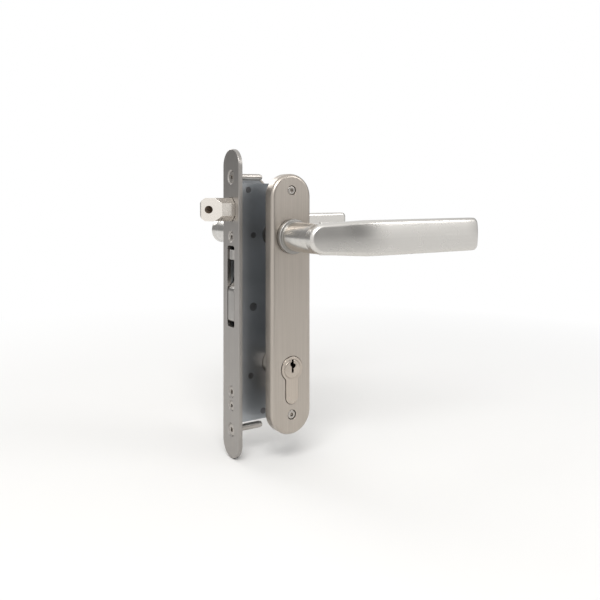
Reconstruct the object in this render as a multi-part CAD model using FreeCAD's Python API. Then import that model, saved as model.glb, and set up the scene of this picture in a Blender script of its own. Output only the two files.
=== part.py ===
import FreeCAD, Part
import math
import os

# Millimetres. X runs into the gate leaf, Y through its thickness, Z up.
# The origin is on the spindle axis, midway between the two backplates.
# The forend faces -X. The front of the lock, with its screw heads, faces -Y.
V = FreeCAD.Vector

# Layout of the lock
leaf_gap = 50.0              # clear distance between the two backplates
backset = 30.0               # forend face to spindle axis
centres = 92.0               # spindle axis to cylinder axis

# Clearances
running = 0.05               # radial, shaft in its bearing
slide_gap = 0.3              # beside a sliding piece
contact_gap = 0.3            # between a driving face and what it pushes

# Forend
forend_width = 24.0
forend_thickness = 3.0
forend_bevel = 0.6
fixing_inset = 20.0          # fixing hole to the end of the forend
fixing_above_case = 4.5      # upper fixing hole to the top of the case
fixing_below_case = 6.5

# Screws
fixing_radius = 2.5
fixing_head = 5.0
fixing_length = 25.0
fixing_neck = 2.3            # radius where the screw passes the strip
thread_start = 0.5           # behind the strip's back
case_screw_radius = 2.0
case_screw_head = 4.0
case_screw_length = 9.0
cylinder_screw_radius = 2.5
cylinder_screw_head = 4.4
socket_depth = 2.0
hole_gap = 0.2               # radial, screw shank in the forend
upper_case_screw_drop = 1.0  # below the spindle
lower_case_screw_drop = 29.5 # below the cylinder axis

# Backplates: a drawn cover over a support plate
plate_width = 32.0
plate_depth = 9.0
plate_above = 43.5           # spindle to the top of the plate
plate_below = 46.0           # cylinder axis to its foot
cover_wall = 1.6
rim_chamfer = 1.0
bolt_inset = 11.5            # through-bolt to the plate's top
bolt_inset_foot = 14.0       # through-bolt to the plate's foot
cutout_gap = 1.0             # around the cylinder in the cover

# Through-bolts and their sleeve nuts
bolt_radius = 2.0
bolt_head_radius = 3.1
bolt_head_height = 3.0
bolt_head_sink = 0.4
bolt_socket = 2.5
sleeve_radius = 3.0
sleeve_reach = 2.0           # past the middle of the lock
sleeve_flange = 4.2
sleeve_flange_height = 1.2

# Lever handles
lever_reach = 130.5          # spindle axis to tip
grip_height = 24.0
grip_thickness = 9.0
grip_chamfer = 2.0
tip_corner = 4.0
grip_flare = 30.0            # where the grip reaches its full height
flare_round = 80.0           # radius where the flare runs into the straight
elbow_projection = 39.0      # plate face to the outer face at the elbow
tip_projection = 52.6        # plate face to the outer face at the tip
elbow_slope = 14.0           # degrees
bend_place = 34.0
bend_radius = 130.0
neck_radius = 10.2
elbow_fillet = 8.0
collar_radius = 12.2
collar_height = 3.6
collar_chamfer = 0.9
collar_gap = 0.3
journal_radius = 9.0
bush_radius = 11.5           # over its eight corners
bush_sides = 8
ring_groove_radius = 8.2
ring_radius = 10.6
ring_thickness = 1.0
grub_radius = 3.0
grub_length = 7.0
grub_place = 16.0            # plate face to the grub screw

# Spindle
spindle_width = 8.0
spindle_chamfer = 0.6
spindle_gap = 0.05           # each side, in the sockets
spindle_half_length = 57.0

# Lock case
case_depth = 46.0            # from behind the forend to its back
case_half_thickness = 8.0
case_wall = 1.2
case_top = 37.0              # above the spindle
case_below = 40.0            # cylinder axis to the foot of the case
boss_length = 6.3
boss_half_width = 4.0
boss_half_height = 3.5
post_radius = 2.2

# Latch bolt
latch_height = 18.5          # above the spindle
latch_tall = 16.4
latch_thick = 12.7
latch_chamfer = 3.8
latch_throw = 20.5
latch_stop = 0.5             # how far it stays proud when it is drawn back
latch_blunt = 1.8            # flat left at the tip of the bevel
latch_length = 29.0
latch_slot_gap = 0.3
stem_radius = 3.0
stem_hole = 2.6
stem_thread = 12.0
stem_neck_radius = 2.0
tail_block = 2.8
tail_block_side = 6.2
tail_plate_inner = 3.0
tail_plate_thick = 2.0
tail_pin_radius = 1.6
tail_pin_height = 24.75      # above the spindle

# Follower
follower_disc = 9.8
follower_journal = 8.4
follower_turn = 45.0         # degrees
arm_length = 27.4
arm_half_width = 1.8
arm_half_thickness = 2.5
tab_radius = 13.0
tab_round = 2.0
tab_half_neck = 1.0

# Return spring of the follower
plunger_radius = 2.5
plunger_stem = 1.2
plunger_cap = 2.5
return_coil_radius = 1.9
return_wire = 0.8
return_turns = 7
return_spring_length = 30.0
wire_sides = 6
wire_steps = 10              # along each turn
seat_height = 3.0

# Latch spring
leg_wire = 0.8
leg_coil_radius = 2.8
leg_turns = 2.75
leg_pitch = 0.95

# Hook bolt
hook_pivot_depth = 14.0      # behind the forend face
hook_pivot_drop = 51.0       # below the spindle
hook_turn = 85.0             # degrees
hook_thickness = 9.0
hook_reach = 40.7            # pivot to the top of the nose
hook_nose = 7.1
hook_throat = 9.5
hook_shank = 11.5
hook_ramp_foot = 12.5        # pivot to the foot of the ramp
hook_ramp_rise = 7.5
hook_nose_chamfer = 2.4
hook_flush = 0.1             # its face lies this far behind the forend's
hook_slot_width = 10.6
hook_slot_above = 2.9        # above the nose
hook_slot_below = 14.2       # below the pivot
hook_slot_corner = 2.0
hook_pin_radius = 3.0
drive_pin_radius = 2.0
drive_pin_offset = 10.5

# Hook drive plate and detent spring
drive_thickness = 1.4
drive_inner = 5.0            # its inner face, from the middle of the lock
drive_slot_gap = 0.35
guide_post_x = -18.0
guide_post_drop = 8.0        # below the cylinder axis
lug_height = 5.0
notch_radius = 1.2
notch_place = 12.0           # below the cylinder axis
arm_step = 8.0               # notch to where the arm steps in
detent_strip = 0.6

# Cylinder
barrel_radius = 8.5
leg_half_width = 5.0
leg_bottom = 24.5            # below the cylinder axis
cylinder_half_length = 34.6
cam_gap = 5.0                # half the gap that the cam turns in
web_top = 16.3               # below the cylinder axis
fixing_hole_drop = 19.5      # below the cylinder axis
plug_radius = 6.5
plug_proud = 0.5
plug_chamfer = 0.6
keyway_width = 1.6
keyway_top = 6.4             # above the cylinder axis
keyway_bottom = 2.6          # below the cylinder axis
cam_radius = 8.2
cam_reach = 15.5
cam_half_width = 4.1
cam_half_lobe = 3.8
cam_rest_angle = 30.0        # from straight down, degrees
spigot_radius = 4.0
clip_thickness = 0.6
clip_groove = 5.6
clip_radius = 7.6
pin_radius = 1.3
pin_gap = 0.1
pin_count = 5
pin_first = 9.5
pin_spacing = 4.2
driver_length = 4.5
chamber_plug = 2.2           # closes each chamber from below
pin_wire = 0.5
pin_sides = 8                # the pins and their chambers are drawn with flat sides

# Derived places
plate_back = leaf_gap / 2
plate_face = plate_back + plate_depth
forend_face = -backset
forend_back = forend_face + forend_thickness
cylinder_z = -centres
case_foot = cylinder_z - case_below
upper_fixing = case_top + fixing_above_case
lower_fixing = case_foot - fixing_below_case
forend_top = upper_fixing + fixing_inset
forend_bottom = lower_fixing - fixing_inset
case_front = forend_back
case_back = case_front + case_depth
case_inner = case_half_thickness - case_wall
plate_top = plate_above
plate_bottom = cylinder_z - plate_below
upper_bolt = plate_top - bolt_inset
lower_bolt = plate_bottom + bolt_inset_foot
upper_case_screw = -upper_case_screw_drop
lower_case_screw = cylinder_z - lower_case_screw_drop
cylinder_screw_z = cylinder_z - fixing_hole_drop
hook_x = forend_face + hook_pivot_depth
hook_z = -hook_pivot_drop
hook_top = hook_z + hook_reach
half_turn = follower_turn / 2
latch_tip = forend_face - latch_stop - latch_throw
latch_rear = latch_tip + latch_length
tail_back = latch_rear + tail_block
hook_lobe = hook_pivot_depth - hook_flush
# The tail pin's axis at rest, just clear of the follower's arm
tail_pin_x = (
    (arm_half_width + tail_pin_radius + contact_gap) / math.cos(math.radians(half_turn))
    - tail_pin_height * math.tan(math.radians(half_turn))
)
drive_travel = 2 * drive_pin_offset * math.sin(math.radians(hook_turn / 2))
drive_pin_x = hook_x + drive_pin_offset * math.cos(math.radians(hook_turn / 2))
drive_pin_z = hook_z - drive_travel / 2


def at_x(x):
    return lambda y, z: V(x, y, z)


def at_y(y):
    return lambda x, z: V(x, y, z)


def at_z(z):
    return lambda x, y: V(x, y, z)


def outline(place, start, *steps):
    """A closed face. A step is a point, or a pair of points: an arc's middle and its end."""
    edges = []
    here = start
    for step in steps + (start,):
        if isinstance(step[0], tuple):
            middle, end = step
            edges.append(Part.Arc(place(*here), place(*middle), place(*end)).toShape())
        else:
            end = step
            if math.dist(here, end) > 1e-6:
                edges.append(Part.makeLine(place(*here), place(*end)))
        here = end
    return Part.Face(Part.Wire(edges))


def block(x0, x1, y0, y1, z0, z1):
    return Part.makeBox(x1 - x0, y1 - y0, z1 - z0, V(x0, y0, z0))


def rod_x(radius, x0, x1, y, z):
    return Part.makeCylinder(radius, x1 - x0, V(x0, y, z), V(1, 0, 0))


def rod_y(radius, y0, y1, x, z):
    return Part.makeCylinder(radius, y1 - y0, V(x, y0, z), V(0, 1, 0))


def rod_z(radius, z0, z1, x, y):
    return Part.makeCylinder(radius, z1 - z0, V(x, y, z0), V(0, 0, 1))


def stadium(place, half_width, low, high):
    """An upright strip with fully round ends."""
    return outline(
        place,
        (-half_width, low + half_width),
        (-half_width, high - half_width),
        ((0.0, high), (half_width, high - half_width)),
        (half_width, low + half_width),
        ((0.0, low), (-half_width, low + half_width)),
    )


def rounded_slot(place, half_width, low, high, corner):
    """An upright slot with small round corners."""
    inset = corner * (1 - math.sqrt(0.5))
    return outline(
        place,
        (-half_width, low + corner),
        (-half_width, high - corner),
        ((inset - half_width, high - inset), (corner - half_width, high)),
        (half_width - corner, high),
        ((half_width - inset, high - inset), (half_width, high - corner)),
        (half_width, low + corner),
        ((half_width - inset, low + inset), (half_width - corner, low)),
        (corner - half_width, low),
        ((inset - half_width, low + inset), (-half_width, low + corner)),
    )


def euro_profile(place, gap):
    """The cylinder's outline, or its cut-out when gap is more than nothing."""
    radius = barrel_radius + gap
    half = leg_half_width + gap
    shoulder = math.sqrt(radius * radius - half * half)
    foot = cylinder_z - leg_bottom - gap + half
    return outline(
        place,
        (-half, cylinder_z - shoulder),
        ((0.0, cylinder_z + radius), (half, cylinder_z - shoulder)),
        (half, foot),
        ((0.0, foot - half), (-half, foot)),
    )


def prism(place, corner, sides, centre, along):
    """A many-sided bar. The corner is its radius over the corners."""
    turns = [2 * math.pi * (n % sides) / sides for n in range(sides + 1)]
    points = [place(centre[0] + corner * math.sin(a), centre[1] + corner * math.cos(a)) for a in turns]
    return Part.Face(Part.makePolygon(points)).extrude(along)


def socket(place, across, centre, along):
    """A hexagon socket."""
    return prism(place, across / math.sqrt(3), 6, centre, along)


def countersunk_screw(radius, head, length, z):
    """A screw through the forend at height z, with a 90 degree head and a hexagon socket."""
    sink = head - radius
    shape = rod_x(radius, forend_face + sink, forend_face + length, 0.0, z)
    cone = Part.makeCone(head, radius, sink, V(forend_face, 0, z), V(1, 0, 0))
    hexagon = socket(at_x(forend_face - 1), 1.2 * radius, (0.0, z), V(1 + socket_depth, 0, 0))
    return shape.fuse(cone).removeSplitter().cut(hexagon)


def countersink(radius, head, z):
    sink = head - radius
    hole = rod_x(radius + hole_gap, forend_face - 1.0, forend_back + 1.0, 0.0, z)
    cone = Part.makeCone(head, radius, sink, V(forend_face, 0, z), V(1, 0, 0))
    return hole.fuse(cone)


def latch_section(place, gap):
    """The latch bolt's section: a rectangle with its four corners cut off."""
    half_y = latch_thick / 2 + gap
    half_z = latch_tall / 2 + gap
    cut_y = half_y - latch_chamfer
    cut_z = half_z - latch_chamfer
    z = latch_height
    return outline(
        place,
        (-half_y, z - cut_z),
        (-half_y, z + cut_z),
        (-cut_y, z + half_z),
        (cut_y, z + half_z),
        (half_y, z + cut_z),
        (half_y, z - cut_z),
        (cut_y, z - half_z),
        (-cut_y, z - half_z),
    )


def hook_slot(place, gap):
    return rounded_slot(
        place,
        hook_slot_width / 2 + gap,
        hook_z - hook_slot_below - gap,
        hook_top + hook_slot_above + gap,
        hook_slot_corner,
    )


def make_forend():
    half = forend_width / 2
    bar = stadium(at_x(forend_face), half, forend_bottom, forend_top).extrude(V(forend_thickness, 0, 0))
    front = [e for e in bar.Edges if e.BoundBox.XMax < forend_face + 0.01]
    bar = bar.makeChamfer(forend_bevel, front)
    through = V(forend_thickness + 2, 0, 0)
    bar = bar.cut(latch_section(at_x(forend_face - 1), latch_slot_gap).extrude(through))
    bar = bar.cut(hook_slot(at_x(forend_face - 1), 0.0).extrude(through))
    for z in (upper_fixing, lower_fixing):
        bar = bar.cut(countersink(fixing_radius, fixing_head, z))
    for z in (upper_case_screw, lower_case_screw):
        bar = bar.cut(countersink(case_screw_radius, case_screw_head, z))
    return bar.cut(countersink(cylinder_screw_radius, cylinder_screw_head, cylinder_screw_z))


def make_fixing_screws():
    """Each screw has a thinner neck in the strip, and its thread starts behind it."""
    neck_start = forend_face + fixing_head - fixing_radius
    neck_end = forend_back + thread_start
    screws = []
    for z in (upper_fixing, lower_fixing):
        screw = countersunk_screw(fixing_radius, fixing_head, fixing_length, z)
        ring = rod_x(fixing_head, neck_start, neck_end, 0.0, z)
        ring = ring.cut(rod_x(fixing_neck, neck_start - 1, neck_end + 1, 0.0, z))
        screws.append(screw.cut(ring))
    return screws


def make_case_screws():
    return [
        countersunk_screw(case_screw_radius, case_screw_head, case_screw_length, z)
        for z in (upper_case_screw, lower_case_screw)
    ]


def make_cylinder_screw():
    length = backset + leg_half_width - 0.5
    return countersunk_screw(cylinder_screw_radius, cylinder_screw_head, length, cylinder_screw_z)


# Places of the posts that hold the case and its cover together. The last carries the latch spring.
post_places = [
    (case_back - case_wall - post_radius - 1.6, hook_z - 7.0),
    (guide_post_x, cylinder_z - guide_post_drop),
    (-8.0, case_foot + 5.5),
    (forend_back + 7.0, case_top - case_wall - post_radius - 1.3),
    (
        tail_back + 0.05 + leg_wire / 2 + leg_coil_radius,
        upper_case_screw + boss_half_height + leg_wire / 2 + 0.02 - leg_coil_radius,
    ),
]
spring_post = post_places[-1]
detent_post = post_places[2]


def case_wall_holes(y0, y1):
    """Everything that passes through a side wall of the case."""
    hole = rod_y(follower_journal + running, y0, y1, 0.0, 0.0)
    hole = hole.fuse(euro_profile(at_y(y0), slide_gap).extrude(V(0, y1 - y0, 0)))
    for z in (upper_bolt, lower_bolt):
        hole = hole.fuse(rod_y(sleeve_radius + slide_gap, y0, y1, 0.0, z))
    for x, z in post_places:
        hole = hole.fuse(rod_y(post_radius, y0, y1, x, z))
    return hole.fuse(rod_y(hook_pin_radius, y0, y1, hook_x, hook_z))


def make_case_shell():
    outer = block(case_front, case_back, -case_inner, case_half_thickness, case_foot, case_top)
    hollow = block(
        case_front + case_wall,
        case_back - case_wall,
        -case_inner - 1,
        case_inner,
        case_foot + case_wall,
        case_top - case_wall,
    )
    shell = outer.cut(hollow)
    boss_from = case_front + case_wall / 2
    for z in (upper_case_screw, lower_case_screw):
        boss = block(
            boss_from,
            case_front + boss_length,
            -boss_half_width,
            boss_half_width,
            z - boss_half_height,
            z + boss_half_height,
        )
        shell = shell.fuse(boss)
        shell = shell.cut(rod_x(case_screw_radius, case_front - 1, case_front + boss_length + 1, 0.0, z))
    through = V(case_wall + 2, 0, 0)
    shell = shell.cut(latch_section(at_x(case_front - 1), latch_slot_gap).extrude(through))
    shell = shell.cut(hook_slot(at_x(case_front - 1), slide_gap).extrude(through))
    screw_hole = cylinder_screw_radius + slide_gap
    shell = shell.cut(rod_x(screw_hole, case_front - 1, case_front + case_wall + 1, 0.0, cylinder_screw_z))
    return shell.cut(case_wall_holes(case_inner - 1, case_half_thickness + 1)).removeSplitter()


def make_case_cover():
    cover = block(case_front, case_back, -case_half_thickness, -case_inner, case_foot, case_top)
    return cover.cut(case_wall_holes(-case_half_thickness - 1, -case_inner + 1))


def make_case_posts():
    """Posts riveted flush into both side walls."""
    return [rod_y(post_radius, -case_half_thickness, case_half_thickness, x, z) for x, z in post_places]


def make_hook_pivot_pin():
    return rod_y(hook_pin_radius, -case_half_thickness, case_half_thickness, hook_x, hook_z)


def make_cover(screwed):
    """The front cover. The rear one is its mirror image, without the screw holes."""
    half = plate_width / 2
    cover = stadium(at_y(-plate_face), half, plate_bottom, plate_top).extrude(V(0, plate_depth, 0))
    rim = [e for e in cover.Edges if e.BoundBox.YMax < 0.01 - plate_face]
    cover = cover.makeChamfer(rim_chamfer, rim)
    face = at_y(cover_wall - plate_face)
    inside = stadium(face, half - cover_wall, plate_bottom + cover_wall, plate_top - cover_wall)
    cover = cover.cut(inside.extrude(V(0, plate_depth, 0)))
    cover = cover.cut(rod_y(bush_radius + 0.1, -plate_face - 1, -plate_back, 0.0, 0.0))
    cover = cover.cut(euro_profile(at_y(-plate_face - 1), cutout_gap).extrude(V(0, plate_depth, 0)))
    if screwed:
        for z in (upper_bolt, lower_bolt):
            cover = cover.cut(rod_y(bolt_head_radius + 0.5, -plate_face - 1, -plate_back, 0.0, z))
    return cover


def make_support(bolt_hole):
    """The plate inside the front cover: pocketed from the back, with a bar left across."""
    front = -plate_face + cover_wall
    half = plate_width / 2 - cover_wall
    body = stadium(at_y(front), half, plate_bottom + cover_wall, plate_top - cover_wall)
    body = body.extrude(V(0, plate_depth - cover_wall, 0))
    pocket_high = -bush_radius - 4.0
    pocket_low = cylinder_z + barrel_radius + 5.0
    middle = (pocket_high + pocket_low) / 2
    pocket_half = half - 4.0
    for low, high in ((pocket_low, middle - 1.5), (middle + 1.5, pocket_high)):
        pocket = rounded_slot(at_y(front + 2.0), pocket_half, low, high, 3.0)
        body = body.cut(pocket.extrude(V(0, plate_depth, 0)))
    body = body.cut(prism(at_y(front - 1), bush_radius, bush_sides, (0.0, 0.0), V(0, plate_depth + 2, 0)))
    body = body.cut(euro_profile(at_y(front - 1), slide_gap).extrude(V(0, plate_depth + 1, 0)))
    for z in (upper_bolt, lower_bolt):
        body = body.cut(rod_y(bolt_hole, front - 1, -plate_back + 1, 0.0, z))
    return body


def make_front_support():
    """The through-bolts' heads sit in counterbores."""
    body = make_support(bolt_radius + hole_gap)
    head_under = -plate_face + bolt_head_sink + bolt_head_height
    for z in (upper_bolt, lower_bolt):
        body = body.cut(rod_y(bolt_head_radius + 0.3, -plate_face, head_under, 0.0, z))
    return body


def make_rear_support():
    """The sleeve nuts' flanges sit in counterbores under the cover."""
    body = make_support(sleeve_radius + hole_gap)
    under = -plate_face + cover_wall + sleeve_flange_height
    for z in (upper_bolt, lower_bolt):
        body = body.cut(rod_y(sleeve_flange, -plate_face, under, 0.0, z))
    return body.mirror(V(0, 0, 0), V(0, 1, 0))


def make_through_bolts():
    bolts = []
    head_face = -plate_face + bolt_head_sink
    head_under = head_face + bolt_head_height
    for z in (upper_bolt, lower_bolt):
        head = rod_y(bolt_head_radius, head_face, head_under, 0.0, z)
        rim = [e for e in head.Edges if e.BoundBox.YMax < head_face + 0.01]
        head = head.makeChamfer(0.4, rim)
        hexagon = socket(at_y(head_face - 1), bolt_socket, (0.0, z), V(0, 1 + socket_depth, 0))
        shank = rod_y(bolt_radius, head_under, plate_back - 2.0, 0.0, z)
        bolts.append(head.fuse(shank).removeSplitter().cut(hexagon))
    return bolts


def make_sleeve_nuts():
    nuts = []
    flange_face = plate_face - cover_wall
    for z in (upper_bolt, lower_bolt):
        nut = rod_y(sleeve_radius, -sleeve_reach, flange_face, 0.0, z)
        nut = nut.fuse(rod_y(sleeve_flange, flange_face - sleeve_flange_height, flange_face, 0.0, z))
        nut = nut.removeSplitter().cut(rod_y(bolt_radius, -sleeve_reach - 1, plate_back - 2.0, 0.0, z))
        nuts.append(nut)
    return nuts


def grip_curve(offset):
    """The grip's outer face seen from above, moved inwards by offset.

    Points are (x, distance from the middle of the lock): start, arc start, arc middle, arc end, tip.
    """
    a = math.radians(elbow_slope)
    start = (-neck_radius, plate_face + elbow_projection)
    corner = (bend_place, start[1] + (bend_place + neck_radius) * math.tan(a))
    tip = (lever_reach, plate_face + tip_projection)
    b = math.atan2(tip[1] - corner[1], tip[0] - corner[0])
    mitre = offset / math.cos((a - b) / 2)
    corner = (corner[0] + mitre * math.sin((a + b) / 2), corner[1] - mitre * math.cos((a + b) / 2))
    radius = bend_radius - offset
    tangent = radius * math.tan((a - b) / 2)
    first = (corner[0] - tangent * math.cos(a), corner[1] - tangent * math.sin(a))
    last = (corner[0] + tangent * math.cos(b), corner[1] + tangent * math.sin(b))
    centre = (first[0] + radius * math.sin(a), first[1] - radius * math.cos(a))
    reach = math.dist(corner, centre)
    middle = (
        centre[0] + (corner[0] - centre[0]) * radius / reach,
        centre[1] + (corner[1] - centre[1]) * radius / reach,
    )
    start = (-neck_radius, corner[1] - (corner[0] + neck_radius) * math.tan(a))
    end = lever_reach + grip_thickness
    tip = (end, corner[1] + (end - corner[0]) * math.tan(b))
    return start, first, middle, last, tip


def grip_front():
    """The grip seen from the front: round at the neck, then flaring to its full height."""
    half = grip_height / 2
    distance = math.hypot(grip_flare, half)
    angle = math.atan2(half, grip_flare) + math.acos(neck_radius / distance)
    touch = (neck_radius * math.cos(angle), neck_radius * math.sin(angle))
    rise = math.atan2(half - touch[1], grip_flare - touch[0])
    run = flare_round * math.tan(rise / 2)
    start = (grip_flare - run * math.cos(rise), half - run * math.sin(rise))
    middle = (
        grip_flare + run - flare_round * math.sin(rise / 2),
        half - flare_round * (1 - math.cos(rise / 2)),
    )
    straight = grip_flare + run
    end = lever_reach + grip_thickness
    return outline(
        at_y(-plate_face - tip_projection - 5),
        touch,
        ((-neck_radius, 0.0), (touch[0], -touch[1])),
        (start[0], -start[1]),
        ((middle[0], -middle[1]), (straight, -half)),
        (end, -half),
        (end, half),
        (straight, half),
        (middle, start),
    )


def beyond_tip():
    """What is cut away at the grip's tip, square to its faces, to leave two round corners."""
    first, last = grip_curve(0.0)[3:]
    lean = math.atan2(last[1] - first[1], last[0] - first[0])
    along = V(math.cos(lean), -math.sin(lean), 0)
    inward = V(math.sin(lean), math.cos(lean), 0)
    tip = V(lever_reach, -plate_face - tip_projection, 0)
    outside = 5.0
    half = grip_height / 2
    inset = tip_corner * (1 - math.sqrt(0.5))

    def on_face(u, z):
        return tip + along * u - inward * outside + V(0, 0, z)

    waste = outline(
        on_face,
        (-tip_corner, half),
        ((-inset, half - inset), (0.0, half - tip_corner)),
        (0.0, tip_corner - half),
        ((-inset, inset - half), (-tip_corner, -half)),
        (-tip_corner, -half - 2.0),
        (2 * grip_thickness, -half - 2.0),
        (2 * grip_thickness, half + 2.0),
        (-tip_corner, half + 2.0),
    )
    return waste.extrude(inward * (grip_thickness + 3 * outside))


def make_grip():
    outer = grip_curve(0.0)
    inner = grip_curve(grip_thickness)

    def plan(x, d):
        return V(x, -d, -grip_height)

    band = outline(
        plan,
        outer[0],
        outer[1],
        (outer[2], outer[3]),
        outer[4],
        inner[4],
        inner[3],
        (inner[2], inner[1]),
        inner[0],
    )
    band = band.extrude(V(0, 0, 2 * grip_height))
    depth = tip_projection + 4
    grip = band.common(grip_front().extrude(V(0, depth, 0)))
    grip = grip.cut(beyond_tip()).Solids[0]

    def edged(edge):
        box = edge.BoundBox
        along_y = box.XLength < 1.0 and box.ZLength < 0.01
        seam = box.XLength < 0.01 and box.YLength < 0.01 and box.XMax < lever_reach - 1
        return not along_y and not seam

    return grip.makeChamfer(grip_chamfer, [e for e in grip.Edges if edged(e)])


def make_neck():
    """The round neck, ended on a line halfway through the grip's thickness."""
    collar_foot = plate_face + collar_gap
    neck = Part.makeCylinder(neck_radius, tip_projection + neck_radius, V(0, -collar_foot, 0), V(0, -1, 0))
    curve = grip_curve(grip_thickness / 2)
    slope = math.tan(math.radians(elbow_slope))
    left = -2 * neck_radius
    far = plate_face + tip_projection + 2 * neck_radius

    def plan(x, d):
        return V(x, -d, -grip_height)

    beyond = outline(
        plan,
        (left, curve[0][1] + (left + neck_radius) * slope),
        curve[1],
        (curve[2], curve[3]),
        curve[4],
        (curve[4][0], far),
        (left, far),
    )
    return neck.cut(beyond.extrude(V(0, 0, 2 * grip_height)))


def make_lever():
    """The front lever: grip, neck, collar and the journal that turns in the plate."""
    lever = make_grip().fuse(make_neck()).removeSplitter().Solids[0]
    elbow = [
        e
        for e in lever.Edges
        if abs(e.BoundBox.XMax - neck_radius) < 0.5
        and e.BoundBox.XMin > 0.3 * neck_radius
        and e.BoundBox.YMin > -plate_face - elbow_projection
        and e.BoundBox.YMax < -plate_face - elbow_projection / 2
        and e.BoundBox.ZLength > neck_radius
    ]
    lever = lever.makeFillet(elbow_fillet, elbow)
    foot = -plate_face - collar_gap
    collar = rod_y(collar_radius, foot - collar_height, foot, 0.0, 0.0)
    rim = [e for e in collar.Edges if e.BoundBox.YMax < foot - collar_height + 0.01]
    collar = collar.makeChamfer(collar_chamfer, rim)
    journal = rod_y(journal_radius, foot, -plate_back - 0.4, 0.0, 0.0)
    lever = lever.fuse(collar).fuse(journal).removeSplitter()
    groove_from = -plate_back - 0.8 - ring_thickness
    groove = rod_y(journal_radius + 1, groove_from, groove_from + ring_thickness, 0.0, 0.0)
    groove = groove.cut(rod_y(ring_groove_radius, groove_from, groove_from + ring_thickness, 0.0, 0.0))
    lever = lever.cut(groove)
    half = spindle_width / 2 + spindle_gap
    lever = lever.cut(block(-half, half, -spindle_half_length - 0.5, -plate_back, -half, half))
    grub_y = -plate_face - grub_place
    return lever.cut(rod_z(grub_radius, -neck_radius - 1, 0.0, 0.0, grub_y))


def make_grub_screws():
    screws = []
    for side in (-1, 1):
        y = side * (plate_face + grub_place)
        top = -spindle_width / 2 - 0.05
        screw = rod_z(grub_radius, top - grub_length + 1.2, top, 0.0, y)
        screws.append(screw.cut(socket(at_z(top - grub_length), grub_radius, (0.0, y), V(0, 0, 3.0))))
    return screws


def make_lever_bushes():
    bushes = []
    outer_end = plate_face
    inner_end = plate_back + 0.8 + ring_thickness + 0.2
    for side in (-1, 1):
        y0 = min(side * inner_end, side * outer_end)
        y1 = max(side * inner_end, side * outer_end)
        bush = prism(at_y(y0), bush_radius, bush_sides, (0.0, 0.0), V(0, y1 - y0, 0))
        bushes.append(bush.cut(rod_y(journal_radius + running, y0 - 1, y1 + 1, 0.0, 0.0)))
    return bushes


def make_lever_rings():
    """Retaining rings: each has a gap at the top, where it opens to snap on."""
    rings = []
    for side in (-1, 1):
        near = plate_back + 0.8
        y0 = min(side * near, side * (near + ring_thickness))
        ring = rod_y(ring_radius, y0, y0 + ring_thickness, 0.0, 0.0)
        ring = ring.cut(rod_y(ring_groove_radius, y0 - 1, y0 + ring_thickness + 1, 0.0, 0.0))
        opening = block(-2.0, 2.0, y0 - 1, y0 + ring_thickness + 1, 0.0, ring_radius + 1)
        rings.append(ring.cut(opening))
    return rings


def make_spindle():
    half = spindle_width / 2
    bar = block(-half, half, -spindle_half_length, spindle_half_length, -half, half)
    long_edges = [e for e in bar.Edges if e.BoundBox.YLength > spindle_half_length]
    return bar.makeChamfer(spindle_chamfer, long_edges)


def bar_from_axis(angle, length, half_width, half_thickness):
    """A bar with a round end that starts on the spindle axis. Angle 0 points up, 90 to +X."""
    a = math.radians(angle)
    along = (math.sin(a), math.cos(a))
    across = (math.cos(a), -math.sin(a))

    def point(u, v):
        return (u * along[0] + v * across[0], u * along[1] + v * across[1])

    straight = length - half_width
    face = outline(
        at_y(-half_thickness),
        point(0.0, -half_width),
        point(straight, -half_width),
        (point(length, 0.0), point(straight, half_width)),
        point(0.0, half_width),
    )
    return face.extrude(V(0, 2 * half_thickness, 0))


def make_follower():
    disc_half = case_inner - slide_gap
    journal_half = case_half_thickness + 0.4
    follower = rod_y(follower_disc, -disc_half, disc_half, 0.0, 0.0)
    follower = follower.fuse(rod_y(follower_journal, -journal_half, journal_half, 0.0, 0.0))
    arm = bar_from_axis(-half_turn, arm_length, arm_half_width, arm_half_thickness)
    tab = bar_from_axis(90 - half_turn, tab_radius, tab_half_neck, arm_half_thickness)
    nose_x = tab_radius * math.cos(math.radians(half_turn))
    nose_z = tab_radius * math.sin(math.radians(half_turn))
    nose = rod_y(tab_round, -arm_half_thickness, arm_half_thickness, nose_x, nose_z)
    follower = follower.fuse(arm).fuse(tab).fuse(nose).removeSplitter()
    half = spindle_width / 2 + spindle_gap
    return follower.cut(block(-half, half, -journal_half - 1, journal_half + 1, -half, half))


def make_latch_bolt():
    """The head: an eight-sided bar with a 45 degree bevel, bored for the stem and the key that turns it."""
    length = latch_rear - latch_tip
    bar = latch_section(at_x(latch_tip), 0.0).extrude(V(length, 0, 0))
    edge_y = latch_thick / 2 - latch_blunt
    reach = 2 * latch_thick

    def plan(x, y):
        return V(x, y, latch_height - latch_tall)

    bevel = outline(
        plan,
        (latch_tip, edge_y),
        (latch_tip + reach, edge_y - reach),
        (latch_tip - 1, edge_y - reach),
        (latch_tip - 1, edge_y + 1),
    )
    bar = bar.cut(bevel.extrude(V(0, 0, 2 * latch_tall)))
    bar = bar.cut(rod_x(stem_hole, latch_tip - 1, latch_rear + 1, 0.0, latch_height))
    return bar.cut(rod_x(stem_radius, latch_rear - stem_thread, latch_rear + 1, 0.0, latch_height))


def make_latch_stem():
    """The adjusting screw: threaded in the head, with a neck held by the tail."""
    thread_from = latch_rear - stem_thread + 0.5
    stem = rod_x(stem_radius, thread_from, latch_rear, 0.0, latch_height)
    stem = stem.fuse(rod_x(stem_neck_radius, latch_rear, tail_back, 0.0, latch_height))
    return stem.removeSplitter().cut(socket(at_x(thread_from - 1), 3.0, (0.0, latch_height), V(4, 0, 0)))


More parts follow.
